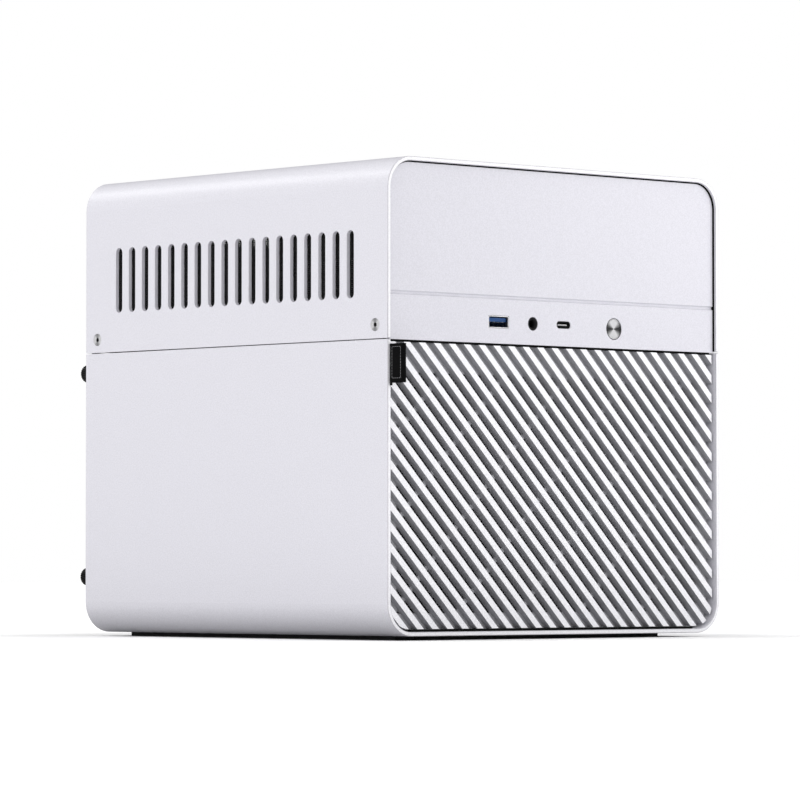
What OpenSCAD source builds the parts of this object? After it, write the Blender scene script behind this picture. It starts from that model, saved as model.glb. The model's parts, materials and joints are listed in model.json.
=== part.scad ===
// Compact desktop computer tower.
// A near-cubic aluminium case on low rubber strips. A lower shell holds five
// upright drives and a power supply behind a pull-off slatted grille, and a
// lift-off upper cover closes over a small motherboard with its cooler.
// Units are millimetres. +Z is up, the front faces -Y, and the origin is on
// the floor under the middle of the case.

/* [Case] */
// Outside width of the case
case_w = 222.5; // [222.5:0.5:226]
// Outside depth of the case, rim to rim
case_d = 224; // [224:0.5:228]
// Height of the two shells together, without the feet
case_h = 224.7; // [224:0.1:230]
// Outside radius of the four long edges
corner_r = 15; // [14:0.5:16]
// Wall of the lower shell and of the upper cover
shell_t = 2; // [1.8:0.1:2]
// Height of the seam between the two shells, above the floor
seam_z = 140.8; // [140.6:0.1:141]
// Height of the rubber strips
foot_h = 2; // [1.5:0.1:2.5]
// How far the fascia and the grille sit behind the front rim
front_recess = 1.8; // [1.5:0.1:2]

/* [Side vents] */
// Number of slots in each side of the cover
vent_count = 18; // [10:1:18]
// Distance from slot to slot
vent_pitch = 10.1; // [8:0.1:10.1]
// Width of a slot
vent_w = 5; // [3:0.1:6]
// Length of a slot, round ends included
vent_len = 32.2; // [20:0.1:36]
// Height of the middle of the slots
vent_z = 176.5; // [174:0.1:180]

/* [Grille] */
// Width of a slat, measured square to it
slat_w = 3; // [2:0.1:4]
// Distance from slat to slat along the front
slat_pitch = 9.66; // [8:0.01:12]
// Depth of a slat from front to back
slat_depth = 4; // [3:0.1:4.5]
// Distance from one cross rib to the next along the front
rib_pitch = 40.85; // [30:0.05:60]

/* [Fascia] */
// Height of the middle of the sockets
socket_z = 151; // [150.8:0.1:151.2]
// Diameter of the power button
button_d = 10; // [9:0.1:11]
// How far the power button travels
button_travel = 0.8; // [0.5:0.1:1]

/* [Drives] */
// Distance from drive to drive
drive_pitch = 28.2; // [28:0.05:28.25]
// Thickness of a drive
drive_t = 26.1; // [20:0.1:26.1]
// Height of a drive standing on edge
drive_w = 101.6; // [95:0.1:101.6]
// Length of a drive
drive_l = 147; // [140:0.5:147]

/* [Hidden] */
$fn = 64;
drive_count = 5;

shell_white = [0.88, 0.88, 0.91];
rubber_black = [0.06, 0.06, 0.07];
plastic_black = [0.1, 0.1, 0.11];
zinc = [0.72, 0.73, 0.75];
board_black = [0.08, 0.09, 0.11];
silver = [0.8, 0.8, 0.82];

eps = 0.01;
half_w = case_w / 2;
half_d = case_d / 2;
top_z = foot_h + case_h;
seam_gap = 0.5;
// How far the pull tab stands out in front of the rim
tab_reach = 10;
in_w = half_w - shell_t;
in_z0 = foot_h + shell_t;
in_z1 = top_z - shell_t;
sheet_t = 1.2;

// Recessed front and rear panels
panel_gap = 0.4;
panel_inset = shell_t + panel_gap;
front_y = -half_d + front_recess;
fascia_t = 2;
fascia_z0 = seam_z - 0.1;
rear_t = 1.5;
rear_y = half_d - front_recess;
rear_in = rear_y - rear_t;

// Grille and what stands behind it
grille_gap = 1.35;
grille_inset = shell_t + grille_gap;
grille_bottom = in_z0 + 0.9;
grille_top = fascia_z0 - 1.1;
grille_frame_t = 1.8;
grille_frame_y = front_y + slat_depth;
grille_back = grille_frame_y + grille_frame_t;
window_x = 100.5;
window_z0 = 12.7;
window_z1 = 125.7;
slat_phase = 3.5;
rib_phase = 7.2;
rib_w = 2.3;
mesh_t = 0.45;
frame_y = grille_back + mesh_t + 0.35;
frame_back = frame_y + sheet_t;
stud_x = 92;
stud_z = [8.8, 132.6];
ball_r = 2.2;
ball_y = frame_back + 3.4;

// Drive bay
bay_x = -34;
drive_y = frame_back + 4.4;
drive_z = 15;
cage_t = 1;
cage_half = drive_count * drive_pitch / 2 + 0.2;
cage_z0 = drive_z - 1.8;
cage_z1 = drive_z + drive_w + 2.7;
backplane_y = drive_y + drive_l + 4;
cage_y1 = backplane_y;

// Window in front of the power supply: corner, width and height
cable_window = [50, 20, 50, 96];

// Tray
tray_z = seam_z + 0.7;
tray_top = tray_z + sheet_t;
flange_x = in_w - 0.95;
flange_top = 153;
cover_screw_y = 103;
cover_screw_z = 147.5;
screw_head_r = 3.1;
screw_neck_r = 1.6;
screw_cone = 1.5;

// Rear fan plate
fan_size = 120;
fan_depth = 15;
fan_pitch = 105;
fan_x = -33.75;
fan_z = 80.4;
plate_x0 = -106;
plate_x1 = 38.6;
plate_half_z = 60.9;
plate_gap = 0.4;
ledge_y = rear_in - 1.8;
plate_y = rear_in + 0.3;
thumb_x = [-102, 33];
thumb_z = [29.5, 131.3];
thumb_r = 4.4;
// As far behind the middle as the pull tab stands in front of it
thumb_end = half_d + tab_reach;
thumb_thread_r = 1.5;
thumb_hole_r = thumb_thread_r + 0.08;

// Power supply, standing on its side
psu_w = 63.5;
psu_h = 125;
psu_d = 100;
psu_x = 44;
psu_y = rear_in - psu_d - 0.1;
psu_z = in_z0 + 7.2;
psu_fan_y = psu_y + 46;
psu_fan_z = psu_z + psu_h / 2;
psu_fan_size = 80;
psu_fan_pitch = 71.5;
inlet_x = psu_x + 33;
inlet_z = psu_z + 18;
rocker_z = psu_z + 43;
rocker_y = psu_y + psu_d + 1.2;
rocker_pivot_y = rocker_y - 6;

// Motherboard
board_size = 170;
board_t = 1.6;
board_x0 = -73;
board_y1 = rear_in - 1.7;
standoff_h = 6.5;
board_z = tray_top + standoff_h;
board_top = board_z + board_t;
board_holes = [[6.35, 10.16], [163.83, 33.02], [6.35, 165.1], [163.83, 165.1]];
cpu_x = board_x0 + 92;
cpu_y = board_y1 - 84;
fins_z = board_top + 13;
fins_h = 24;
cooler_size = 92;
cooler_pitch = 82.5;
ram_x = [board_x0 + 148, board_x0 + 157];
ram_y = board_y1 - 168;
ram_l = 133.35;
// Corner on the board, then size, of each block that stands on it
expansion_slot = [[3.5, 130], [7.5, 89, 11]];
main_power = [[18, 168], [52, 10, 13]];
data_socket = [[78, 168], [5, 17, 9]];
cpu_power = [[20, 42], [17, 9, 12]];
chipset_sink = [[118, 165], [26, 26, 9]];
shield_x0 = board_x0 + 5.5;
shield_w = 158.75;
shield_z0 = board_z - 2.2;
shield_h = 44.45;
// Ports on the rear edge of the board: middle, width and height of each
io_ports = [[shield_x0 + 147, 14, 16], [shield_x0 + 129, 14, 16], [shield_x0 + 110, 17, 13.5],
    [shield_x0 + 90, 16, 13.6], [shield_x0 + 70, 14, 16], [shield_x0 + 18, 13, 34]];
antenna_x = [38, 50];
expansion_x = -82;
rear_vent_z = 208;

// Front sockets on their board
usb_a_x = -38.1;
jack_x = -15.5;
usb_c_x = 5.1;
button_x = 39.45;
button_z = 150.2;
io_board_z = socket_z - 2.85 - board_t;
io_top = io_board_z + board_t;
io_board_y = front_y + 5.2;
io_board_d = 16;
socket_y = front_y + 0.2;
jack_bore_r = 1.8;
jack_depth = 14;
jack_z = socket_z - 0.15;
button_flange_y = front_y + fascia_t + 0.4;
button_back = button_flange_y + 1;
stem_r = 1.75;
plunger_r = 1.5;
plunger_l = 5;
plunger_y = button_back + 5;

// Outline of the case, seen from the front, made smaller all round by inset
module case_outline(inset) {
    w = half_w - inset;
    r = corner_r - inset;
    lo = foot_h + inset;
    hi = top_z - inset;
    translate([-w, lo + r]) square([2 * w, hi - lo - 2 * r]);
    translate([-w + r, lo]) square([2 * w - 2 * r, hi - lo]);
    for (x = [-w + r, w - r], z = [lo + r, hi - r]) translate([x, z]) circle(r);
}

// Stands a drawing up in the XZ plane and gives it a thickness from y0 to y1
module upright(y0, y1) {
    translate([0, y1, 0]) rotate([90, 0, 0]) linear_extrude(y1 - y0) children();
}

// Box from its lowest to its highest corner
module block(lo, hi) {
    translate(lo) cube(hi - lo);
}

// Rod along Y
module rod_y(x, z, y0, y1, r) {
    translate([x, y1, z]) rotate([90, 0, 0]) cylinder(r = r, h = y1 - y0);
}

// Round-ended slot standing upright in a drawing
module slot_2d(x, z, w, len) {
    for (end = [-1, 1]) translate([x, z + end * (len - w) / 2]) circle(w / 2);
    translate([x - w / 2, z - (len - w) / 2]) square([w, len - w]);
}

module rounded_square(w, h, r) {
    square([w, h - 2 * r], center = true);
    square([w - 2 * r, h], center = true);
    for (x = [-1, 1], y = [-1, 1]) translate([x * (w / 2 - r), y * (h / 2 - r)]) circle(r);
}

// The part of a front drawing between two heights
module between(z0, z1) {
    intersection() {
        children();
        translate([-case_w, z0]) square([2 * case_w, z1 - z0]);
    }
}

// ---- Shells ----

module shell_ring() {
    difference() {
        case_outline(0);
        case_outline(shell_t);
    }
}

module lower_shell() {
    color(shell_white) upright(-half_d, half_d)
        between(0, seam_z - seam_gap / 2) shell_ring();
}

module upper_cover() {
    color(shell_white) difference() {
        upright(-half_d, half_d) between(seam_z + seam_gap / 2, top_z + 1) shell_ring();
        translate([-half_w - 1, 0, 0]) rotate([90, 0, 90]) linear_extrude(case_w + 2)
            for (i = [0 : vent_count - 1])
                slot_2d((i - (vent_count - 1) / 2) * vent_pitch, vent_z, vent_w, vent_len);
        for (side = [-1, 1], y = [-cover_screw_y, cover_screw_y])
            translate([side * half_w, y, cover_screw_z]) rotate([0, -side * 90, 0]) {
                translate([0, 0, -eps]) cylinder(r1 = screw_head_r + 0.12, r2 = screw_neck_r, h = screw_cone + eps);
                cylinder(r = screw_neck_r, h = shell_t + 1);
            }
    }
}

// Countersunk hexagon-socket screws of the cover, with the clamp nuts that
// sit behind the open-topped notches of the tray's flanges
module cover_screws() {
    nut_x = half_w - flange_x + sheet_t + 0.3;
    color(silver) for (side = [-1, 1], y = [-cover_screw_y, cover_screw_y])
        translate([side * half_w, y, cover_screw_z]) rotate([0, -side * 90, 0]) difference() {
            union() {
                translate([0, 0, 0.05]) cylinder(r1 = screw_head_r, r2 = screw_neck_r - 0.15, h = screw_cone);
                translate([0, 0, 1]) cylinder(r = screw_neck_r - 0.15, h = 8);
                translate([0, 0, nut_x]) cylinder(r = 3.1, h = 2.4, $fn = 6);
            }
            translate([0, 0, -1]) cylinder(r = 1.15, h = 2.3, $fn = 6);
        }
}

// Fine dust mesh behind the slots
module side_mesh(side) {
    span = vent_count * vent_pitch + 6;
    color(plastic_black) translate([side * (in_w - 0.35), 0, vent_z]) cube([0.5, span, vent_len + 12], center = true);
}

module foot_strips() {
    strip_w = 12;
    side = 88;
    front = -92;
    back = 104;
    color(rubber_black) {
        for (x = [-side, side - strip_w]) block([x, front, 0], [x + strip_w, back, foot_h]);
        for (y = [front, back - strip_w])
            block([-side + strip_w + 0.4, y, 0], [side - strip_w - 0.4, y + strip_w, foot_h]);
    }
}

// ---- Inner frame ----

module base_plate() {
    plate_x = half_w - corner_r - 1;
    color(zinc) difference() {
        block([-plate_x, frame_back + 0.3, in_z0 + 0.1], [plate_x, rear_in - 0.3, in_z0 + sheet_t]);
        for (x = [-60, 60], y = [-80, 80]) translate([x, y, 0]) cylinder(r = 2, h = 20);
    }
}

// Sheet behind the grille, with the drive bay's window and a cable window
module front_frame() {
    color(zinc) upright(frame_y, frame_back) difference() {
        between(in_z0 + 0.6, tray_z - 0.8) case_outline(panel_inset + 0.2);
        translate([bay_x - cage_half - 0.2, cage_z0 + 0.3]) square([2 * cage_half + 0.4, cage_z1 - cage_z0 - 0.6]);
        translate([cable_window[0], cable_window[1]]) square([cable_window[2], cable_window[3]]);
        for (x = [-stud_x, stud_x], z = stud_z) translate([x, z]) circle(ball_r + 0.4);
    }
}

// Four-sided tunnel with guide ribs above and below each drive
module drive_cage() {
    x0 = bay_x - cage_half;
    x1 = bay_x + cage_half;
    y0 = frame_back + 0.2;
    rib_h = 8;
    leg_z = in_z0 + sheet_t + 0.1;
    color(zinc) {
        for (x = [x0 - cage_t, x1]) block([x, y0, cage_z0 - cage_t], [x + cage_t, cage_y1, tray_z - 0.1]);
        for (z = [cage_z0 - cage_t, cage_z1]) block([x0 - cage_t, y0, z], [x1 + cage_t, cage_y1, z + cage_t]);
        for (i = [1 : drive_count - 1]) {
            rib_x = x0 + 0.2 + i * drive_pitch - 0.6;
            block([rib_x, y0, cage_z0 - eps], [rib_x + cage_t + 0.2, cage_y1, cage_z0 + rib_h]);
            block([rib_x, y0, cage_z1 - rib_h], [rib_x + cage_t + 0.2, cage_y1, cage_z1 + eps]);
        }
        for (x = [x0 + 12, x1 - 22], y = [y0 + 10, cage_y1 - 16])
            block([x, y, leg_z], [x + 10, y + 10, cage_z0 - cage_t + eps]);
    }
}

// Sheet between the two bays, with folded-up side flanges
module motherboard_tray() {
    y0 = front_y + 2.7;
    y1 = rear_in - 0.2;
    color(zinc) difference() {
        union() {
            block([-flange_x, y0, tray_z], [flange_x, y1, tray_top]);
            for (x = [-flange_x, flange_x - sheet_t]) block([x, y0, tray_z], [x + sheet_t, y1, flange_top]);
        }
        for (x = [-flange_x, flange_x], y = [-cover_screw_y, cover_screw_y])
            block([x - 3, y - 1.9, cover_screw_z - 1.9], [x + 3, y + 1.9, flange_top + 1]);
        // The two cut-outs that cables pass through
        block([-60, -98, tray_z - 1], [60, -72, tray_top + 1]);
        block([101, -40, tray_z - 1], [106, 60, tray_top + 1]);
        for (p = board_holes) translate([board_x0 + p[0], board_y1 - p[1], tray_z - 1]) cylinder(r = 1.6, h = 4);
    }
}

// Rear sheet with its apertures, and the two ledges that the fan plate is
// screwed to
module rear_panel() {
    color(shell_white) {
        upright(rear_in, rear_y) difference() {
            case_outline(panel_inset);
            translate([plate_x0 - plate_gap, fan_z - plate_half_z - plate_gap])
                square([plate_x1 - plate_x0 + 2 * plate_gap, 2 * (plate_half_z + plate_gap)]);
            translate([psu_x + 2, psu_z + 3]) square([psu_w - 4, psu_h - 6]);
            translate([shield_x0, shield_z0]) square([shield_w, shield_h]);
            translate([expansion_x - 6.5, 152]) square([13, 60]);
            for (i = [0 : 13]) slot_2d(shield_x0 + 15 + i * 10, rear_vent_z, vent_w, 18);
        }
        difference() {
            ledge_z = [fan_z - plate_half_z, tray_z - 0.4];
            union() {
                block([-in_w + 0.7, ledge_y, ledge_z[0]], [-95.2, rear_in + eps, ledge_z[1]]);
                block([27.8, ledge_y, ledge_z[0]], [42, rear_in + eps, ledge_z[1]]);
            }
            for (x = thumb_x, z = thumb_z) rod_y(x, z, ledge_y - 1, rear_y, thumb_hole_r);
        }
    }
}

// ---- Front fascia and its sockets ----

module front_fascia() {
    groove_z = 162.75;
    color(shell_white) difference() {
        upright(front_y, front_y + fascia_t) between(fascia_z0, top_z) case_outline(panel_inset);
        translate([-half_w, 0, 0]) rotate([90, 0, 90]) linear_extrude(case_w)
            polygon([[front_y - 0.1, groove_z + 1.05], [front_y + 0.8, groove_z + 0.45],
                [front_y + 0.8, groove_z - 0.45], [front_y - 0.1, groove_z - 1.05]]);
        upright(front_y - 1, front_y + fascia_t + 1) {
            translate([usb_a_x, socket_z]) rounded_square(13.5, 6.1, 0.4);
            translate([usb_c_x, socket_z]) rounded_square(9.4, 3.6, 1.7);
        }
        rod_y(jack_x, jack_z, front_y - 1, front_y + fascia_t + 1, 3.3);
        rod_y(button_x, button_z, front_y - 1, front_y + fascia_t + 1, button_d / 2 + 0.3);
    }
}

module front_io_board() {
    color(board_black) block([-50, io_board_y, io_board_z], [50, io_board_y + io_board_d, io_top - 0.05]);
}

module usb_a_shell() {
    color(silver) upright(socket_y, socket_y + 14) difference() {
        translate([usb_a_x, socket_z]) rounded_square(13.1, 5.7, 0.6);
        translate([usb_a_x, socket_z]) rounded_square(12.5, 5.1, 0.4);
    }
}

module usb_a_tongue() {
    color([0.1, 0.28, 0.6]) {
        block([usb_a_x - 5.5, socket_y + 0.9, socket_z + 0.15], [usb_a_x + 5.5, socket_y + 13, socket_z + 1.95]);
        block([usb_a_x - 6, socket_y + 12, socket_z - 2.35], [usb_a_x + 6, socket_y + 14, socket_z + 2.35]);
    }
}

module usb_c_shell() {
    color(silver) upright(socket_y, socket_y + 9) difference() {
        translate([usb_c_x, socket_z]) rounded_square(8.94, 3.16, 1.5);
        translate([usb_c_x, socket_z]) rounded_square(8.34, 2.56, 1.2);
    }
    color(plastic_black) block([usb_c_x - 4, socket_y + 4.5, io_top], [usb_c_x + 4, socket_y + 9, socket_z - 1.5]);
}

module usb_c_tongue() {
    color(plastic_black) {
        block([usb_c_x - 3.1, socket_y + 0.8, socket_z - 0.35], [usb_c_x + 3.1, socket_y + 8, socket_z + 0.35]);
        block([usb_c_x - 2.9, socket_y + 7, socket_z - 1.2], [usb_c_x + 2.9, socket_y + 9, socket_z + 1.2]);
    }
}

module audio_jack() {
    z = jack_z;
    color(plastic_black) difference() {
        union() {
            rod_y(jack_x, z, socket_y, socket_y + 3, 3.1);
            block([jack_x - 3.2, socket_y + 2.1, io_top], [jack_x + 3.2, socket_y + jack_depth + 1, z + 2.6]);
        }
        rod_y(jack_x, z, socket_y - 1, socket_y + jack_depth, jack_bore_r);
        translate([jack_x, socket_y - eps, z]) rotate([-90, 0, 0]) cylinder(r1 = 2.4, r2 = jack_bore_r, h = 0.8);
    }
}

module power_button() {
    color(silver) {
        rod_y(button_x, button_z, front_y + 0.05, button_back, button_d / 2);
        rod_y(button_x, button_z, button_flange_y, button_back, button_d / 2 + 1.2);
        rod_y(button_x, button_z, button_flange_y, plunger_y, stem_r);
    }
}

module switch_plunger() {
    color(plastic_black) rod_y(button_x, button_z, plunger_y, plunger_y + plunger_l, plunger_r);
}

module power_switch() {
    y0 = plunger_y + button_travel + 0.4;
    color(plastic_black) difference() {
        block([button_x - 3.5, y0, io_top], [button_x + 3.5, y0 + 6.5, button_z + 2.4]);
        rod_y(button_x, button_z, y0 - 1, plunger_y + plunger_l + button_travel + 0.4, plunger_r + 0.05);
    }
}

// ---- Grille ----

module grille_outline() {
    between(grille_bottom, grille_top) case_outline(grille_inset);
}

// Diagonal slats, with a back frame and cross ribs the other way
module front_grille() {
    first = ceil((-half_w - slat_phase) / slat_pitch);
    last = floor((half_w + grille_top - slat_phase) / slat_pitch);
    color(shell_white) {
        upright(front_y, grille_frame_y + 0.5) intersection() {
            grille_outline();
            for (i = [first : last])
                translate([slat_phase + i * slat_pitch, 0]) rotate(-45) square([4 * half_w, slat_w], center = true);
        }
        upright(grille_frame_y, grille_back) {
            difference() {
                grille_outline();
                grille_window();
            }
            intersection() {
                translate([-window_x - 1, window_z0 - 1]) square([2 * window_x + 2, window_z1 - window_z0 + 2]);
                for (i = [-5 : 2])
                    translate([rib_phase + i * rib_pitch, 0]) rotate(45) square([5 * half_w, rib_w], center = true);
            }
        }
    }
}

module grille_window() {
    translate([-window_x, window_z0]) square([2 * window_x, window_z1 - window_z0]);
}

module grille_mesh() {
    color(plastic_black) upright(grille_back, grille_back + mesh_t)
        translate([-window_x - 2, window_z0 - 1]) square([2 * window_x + 4, window_z1 - window_z0 + 3]);
}

// Ball studs on the back of the grille
module grille_studs() {
    color(silver) for (x = [-stud_x, stud_x], z = stud_z) {
        rod_y(x, z, grille_back, ball_y, 1.5);
        translate([x, ball_y, z]) sphere(ball_r);
    }
}

// Cups that the ball studs snap into
module grille_clips() {
    color(plastic_black) for (x = [-stud_x, stud_x], z = stud_z) difference() {
        rod_y(x, z, frame_back, ball_y + 3.6, ball_r + 1.1);
        rod_y(x, z, frame_back - 1, ball_y + 2.6, ball_r + 0.05);
    }
}

// Ribbon loop that leaves the gap beside the grille and stands forward
module grille_pull_tab() {
    z0 = 120.6;
    tab_h = 17.8;
    root = grille_frame_y + 1.5;
    rim = -half_d;
    x0 = -in_w + 0.35;
    x1 = x0 + 0.7;
    fold_x = -109.3;
    fold_r = 1.3;
    fold_y = rim - tab_reach + fold_r;
    ply = 0.7;
    color(rubber_black) translate([0, 0, z0]) linear_extrude(tab_h) difference() {
        union() {
            polygon([[x0, root], [x0, rim - 0.3], [fold_x - fold_r + 0.1, rim - 1.8], [fold_x - fold_r, fold_y],
                [fold_x + fold_r, fold_y], [fold_x + fold_r - 0.1, rim - 0.8], [x1, rim + 1], [x1, root]]);
            translate([x0, root - 1.2]) square([grille_inset - half_w - x0, 1.2]);
            translate([fold_x, fold_y]) circle(fold_r);
        }
        translate([fold_x, fold_y]) circle(fold_r - ply);
        polygon([[fold_x - 0.6, rim - 2], [fold_x - 0.6, fold_y + 0.1], [fold_x + 0.6, fold_y + 0.1],
            [fold_x + 0.55, rim - 1.2]]);
    }
}

// ---- Fans ----

// Square fan frame with its duct, corner holes, motor disc and four struts
module fan_frame(size, depth, hole_pitch) {
    difference() {
        linear_extrude(depth) difference() {
            rounded_square(size, size, 5);
            circle(size / 2 - 2);
            for (x = [-1, 1], y = [-1, 1]) translate([x, y] * hole_pitch / 2) circle(2.15);
        }
        translate([0, 0, 3]) linear_extrude(depth - 6) difference() {
            square(size + 1, center = true);
            circle(size / 2 - 0.5);
            for (a = [45 : 90 : 315]) rotate(a) translate([size * 0.6, 0]) square([size * 0.25, 14], center = true);
        }
    }
    difference() {
        union() {
            cylinder(r = size * 0.16, h = 3);
            for (a = [20 : 90 : 290]) rotate(a) translate([0, -1.5, 0]) cube([size / 2 - 1, 3, 2.4]);
        }
        translate([0, 0, -1]) cylinder(r = 1.55, h = 5);
    }
}

module fan_rotor(size, depth, blades) {
    hub_r = size * 0.165;
    cylinder_z = 3.6;
    blade_h = depth - cylinder_z - 1.6;
    translate([0, 0, cylinder_z]) cylinder(r = hub_r, h = depth - cylinder_z - 0.8);
    translate([0, 0, 0.8]) cylinder(r = 1.5, h = 4);
    intersection() {
        translate([0, 0, cylinder_z + 0.2]) cylinder(r = size / 2 - 3, h = blade_h);
        for (i = [0 : blades - 1]) rotate(i * 360 / blades)
            translate([size * 0.32, 0, cylinder_z + 0.2 + blade_h / 2]) rotate([38, 0, 0])
                cube([size * 0.34, 1.3, blade_h * 1.8], center = true);
    }
}

module fan_guard_2d(size) {
    for (r = [size * 0.16 : size * 0.08 : size * 0.48]) difference() {
        circle(r + 0.8);
        circle(r - 0.8);
    }
    difference() {
        for (a = [0, 90]) rotate(a + 45) square([size * 1.24, 2], center = true);
        circle(size * 0.16);
    }
}

module place_rear_fan() {
    translate([fan_x, plate_y - fan_depth, fan_z]) rotate([-90, 0, 0]) children();
}

module rear_fan_frame() {
    color(plastic_black) place_rear_fan() fan_frame(fan_size, fan_depth, fan_pitch);
}

module rear_fan_rotor() {
    color([0.2, 0.2, 0.22]) place_rear_fan() fan_rotor(fan_size, fan_depth, 9);
}

module fan_plate() {
    color(shell_white) upright(plate_y, plate_y + rear_t) difference() {
        translate([plate_x0, fan_z - plate_half_z]) square([plate_x1 - plate_x0, 2 * plate_half_z]);
        translate([fan_x, fan_z]) circle(fan_size / 2 - 3);
        for (x = [-1, 1], z = [-1, 1]) translate([fan_x + x * fan_pitch / 2, fan_z + z * fan_pitch / 2]) circle(2.2);
        for (x = thumb_x, z = thumb_z) translate([x, z]) circle(thumb_hole_r);
    }
}

module rear_fan_guard() {
    color(silver) upright(plate_y + rear_t, plate_y + rear_t + 1.2) translate([fan_x, fan_z]) difference() {
        fan_guard_2d(fan_size);
        for (x = [-1, 1], z = [-1, 1]) translate([x, z] * fan_pitch / 2) square(8, center = true);
    }
}

module fan_screws() {
    head_y = plate_y + rear_t;
    color(plastic_black) translate([fan_x, 0, fan_z])
        for (x = [-fan_pitch / 2, fan_pitch / 2], z = [-fan_pitch / 2, fan_pitch / 2]) difference() {
            union() {
                rod_y(x, z, plate_y - 10, head_y + 0.5, 2.05);
                rod_y(x, z, head_y, head_y + 2, 3.7);
            }
            rod_y(x, z, head_y + 0.8, head_y + 3, 1.4);
        }
}

// Captive thumbscrew with a knurled head, along +Y
module thumbscrew(i) {
    x = thumb_x[floor(i / 2)];
    z = thumb_z[i % 2];
    flutes = 24;
    head_y = plate_y + rear_t + 3;
    color(rubber_black) {
        rod_y(x, z, ledge_y - 1.5, head_y + 1, thumb_thread_r);
        rod_y(x, z, plate_y + rear_t + 0.3, head_y + eps, 3.2);
        upright(head_y, thumb_end) translate([x, z]) difference() {
            circle(thumb_r);
            for (k = [0 : flutes - 1]) rotate(k * 360 / flutes) translate([thumb_r + 0.1, 0]) rotate(45)
                square(0.55, center = true);
            circle(1.6, $fn = 6);
        }
        rod_y(x, z, head_y - eps, thumb_end - 3, 3);
    }
}

// ---- Drives ----

module drive(i) {
    x0 = bay_x + (i - (drive_count + 1) / 2) * drive_pitch - drive_t / 2;
    lid = 1.5;
    color([0.62, 0.63, 0.65]) difference() {
        block([x0, drive_y, drive_z], [x0 + drive_t, drive_y + drive_l, drive_z + drive_w]);
        block([x0 - 1, drive_y - 1, drive_z - 1], [x0 + lid, drive_y + drive_l + 1, drive_z + 4]);
        block([x0 - 1, drive_y - 1, drive_z + drive_w - 4], [x0 + lid, drive_y + drive_l + 1, drive_z + drive_w + 1]);
        block([x0 + drive_t - 3, drive_y + 22, drive_z + 6], [x0 + drive_t + 1, drive_y + drive_l - 8, drive_z + 60]);
        block([x0 + drive_t - 9, drive_y + drive_l - 6, drive_z + 8], [x0 + drive_t - 3, drive_y + drive_l + 1,
            drive_z + 52]);
    }
    color([0.05, 0.25, 0.12]) block([x0 + drive_t - 3, drive_y + 24, drive_z + 8],
        [x0 + drive_t - 1.4, drive_y + drive_l - 10, drive_z + 58]);
}

// Board behind the drives, with one socket for each
module backplane_board() {
    x0 = bay_x - cage_half + 1;
    x1 = bay_x + cage_half - 1;
    color([0.05, 0.3, 0.16]) difference() {
        block([x0, backplane_y, drive_z + 2], [x1, backplane_y + board_t, drive_z + drive_w - 2]);
        for (i = [1 : drive_count - 1])
            block([x0 - 1 + i * drive_pitch - 4, backplane_y - 1, drive_z + 60],
                [x0 - 1 + i * drive_pitch + 4, backplane_y + 3, drive_z + 90]);
    }
    color(plastic_black) for (i = [1 : drive_count]) {
        x = bay_x + (i - (drive_count + 1) / 2) * drive_pitch + drive_t / 2;
        block([x - 8.4, drive_y + drive_l + 0.4, drive_z + 9], [x - 3.6, backplane_y + eps, drive_z + 51]);
    }
}

// ---- Power supply ----

module psu_case() {
    t = 1;
    color([0.16, 0.16, 0.17]) difference() {
        block([psu_x, psu_y, psu_z], [psu_x + psu_w, psu_y + psu_d, psu_z + psu_h]);
        block([psu_x + t, psu_y + t, psu_z + t], [psu_x + psu_w - t, psu_y + psu_d - t, psu_z + psu_h - t]);
        translate([psu_x - 1, psu_fan_y, psu_fan_z]) rotate([0, 90, 0]) cylinder(r = psu_fan_size / 2 - 2, h = 3);
        upright(psu_y + psu_d - 2, psu_y + psu_d + 1) {
            translate([inlet_x, inlet_z]) square([27, 19.6], center = true);
            translate([inlet_x, rocker_z]) square([13, 19], center = true);
            for (i = [0 : 6]) slot_2d(psu_x + 11 + i * 7, psu_z + 92, 4.4, 48);
        }
    }
    color(plastic_black) for (i = [0 : 2], k = [0 : 3])
        translate([psu_x + 12 + i * 15, psu_y - 6, psu_z + 26 + k * 18]) cube([10, 6 + eps, 14]);
}

// Three-pin appliance inlet
module psu_inlet() {
    y1 = psu_y + psu_d + 1.6;
    color(plastic_black) {
        difference() {
            union() {
                block([inlet_x - 13.4, y1 - 20, inlet_z - 9.7], [inlet_x + 13.4, y1, inlet_z + 9.7]);
                block([inlet_x - 14.6, y1 - 1.5, inlet_z - 10.9], [inlet_x + 14.6, y1, inlet_z + 10.9]);
            }
            block([inlet_x - 12.2, y1 - 16, inlet_z - 8.2], [inlet_x + 12.2, y1 + 1, inlet_z + 8.2]);
        }
    }
    color(silver) for (p = [[-7, -1.6], [7, -1.6], [0, 2.6]])
        block([inlet_x + p[0] - 1, y1 - 17, inlet_z + p[1] - 2], [inlet_x + p[0] + 1, y1 - 3, inlet_z + p[1] + 2]);
}

module psu_switch_frame() {
    color(plastic_black) difference() {
        union() {
            block([inlet_x - 6.4, rocker_y - 13, rocker_z - 9.4], [inlet_x + 6.4, rocker_y, rocker_z + 9.4]);
            block([inlet_x - 7.4, rocker_y - 1, rocker_z - 10.6], [inlet_x + 7.4, rocker_y, rocker_z + 10.6]);
        }
        block([inlet_x - 5, rocker_y - 12, rocker_z - 8], [inlet_x + 5, rocker_y + 1, rocker_z + 8]);
        translate([inlet_x - 5.8, rocker_pivot_y, rocker_z]) rotate([0, 90, 0]) cylinder(r = 1.05, h = 11.6);
    }
}

// Rocker with its two pivot pins, level at rest between its two stops
module psu_rocker() {
    color(plastic_black) {
        difference() {
            block([inlet_x - 4.6, rocker_y - 9, rocker_z - 7], [inlet_x + 4.6, rocker_y + 1.6, rocker_z + 7]);
            translate([inlet_x - 6, rocker_y + 13.2, rocker_z]) rotate([0, 90, 0]) cylinder(r = 13, h = 12);
        }
        translate([inlet_x - 5.6, rocker_pivot_y, rocker_z]) rotate([0, 90, 0]) cylinder(r = 1, h = 11.2);
    }
}

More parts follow.
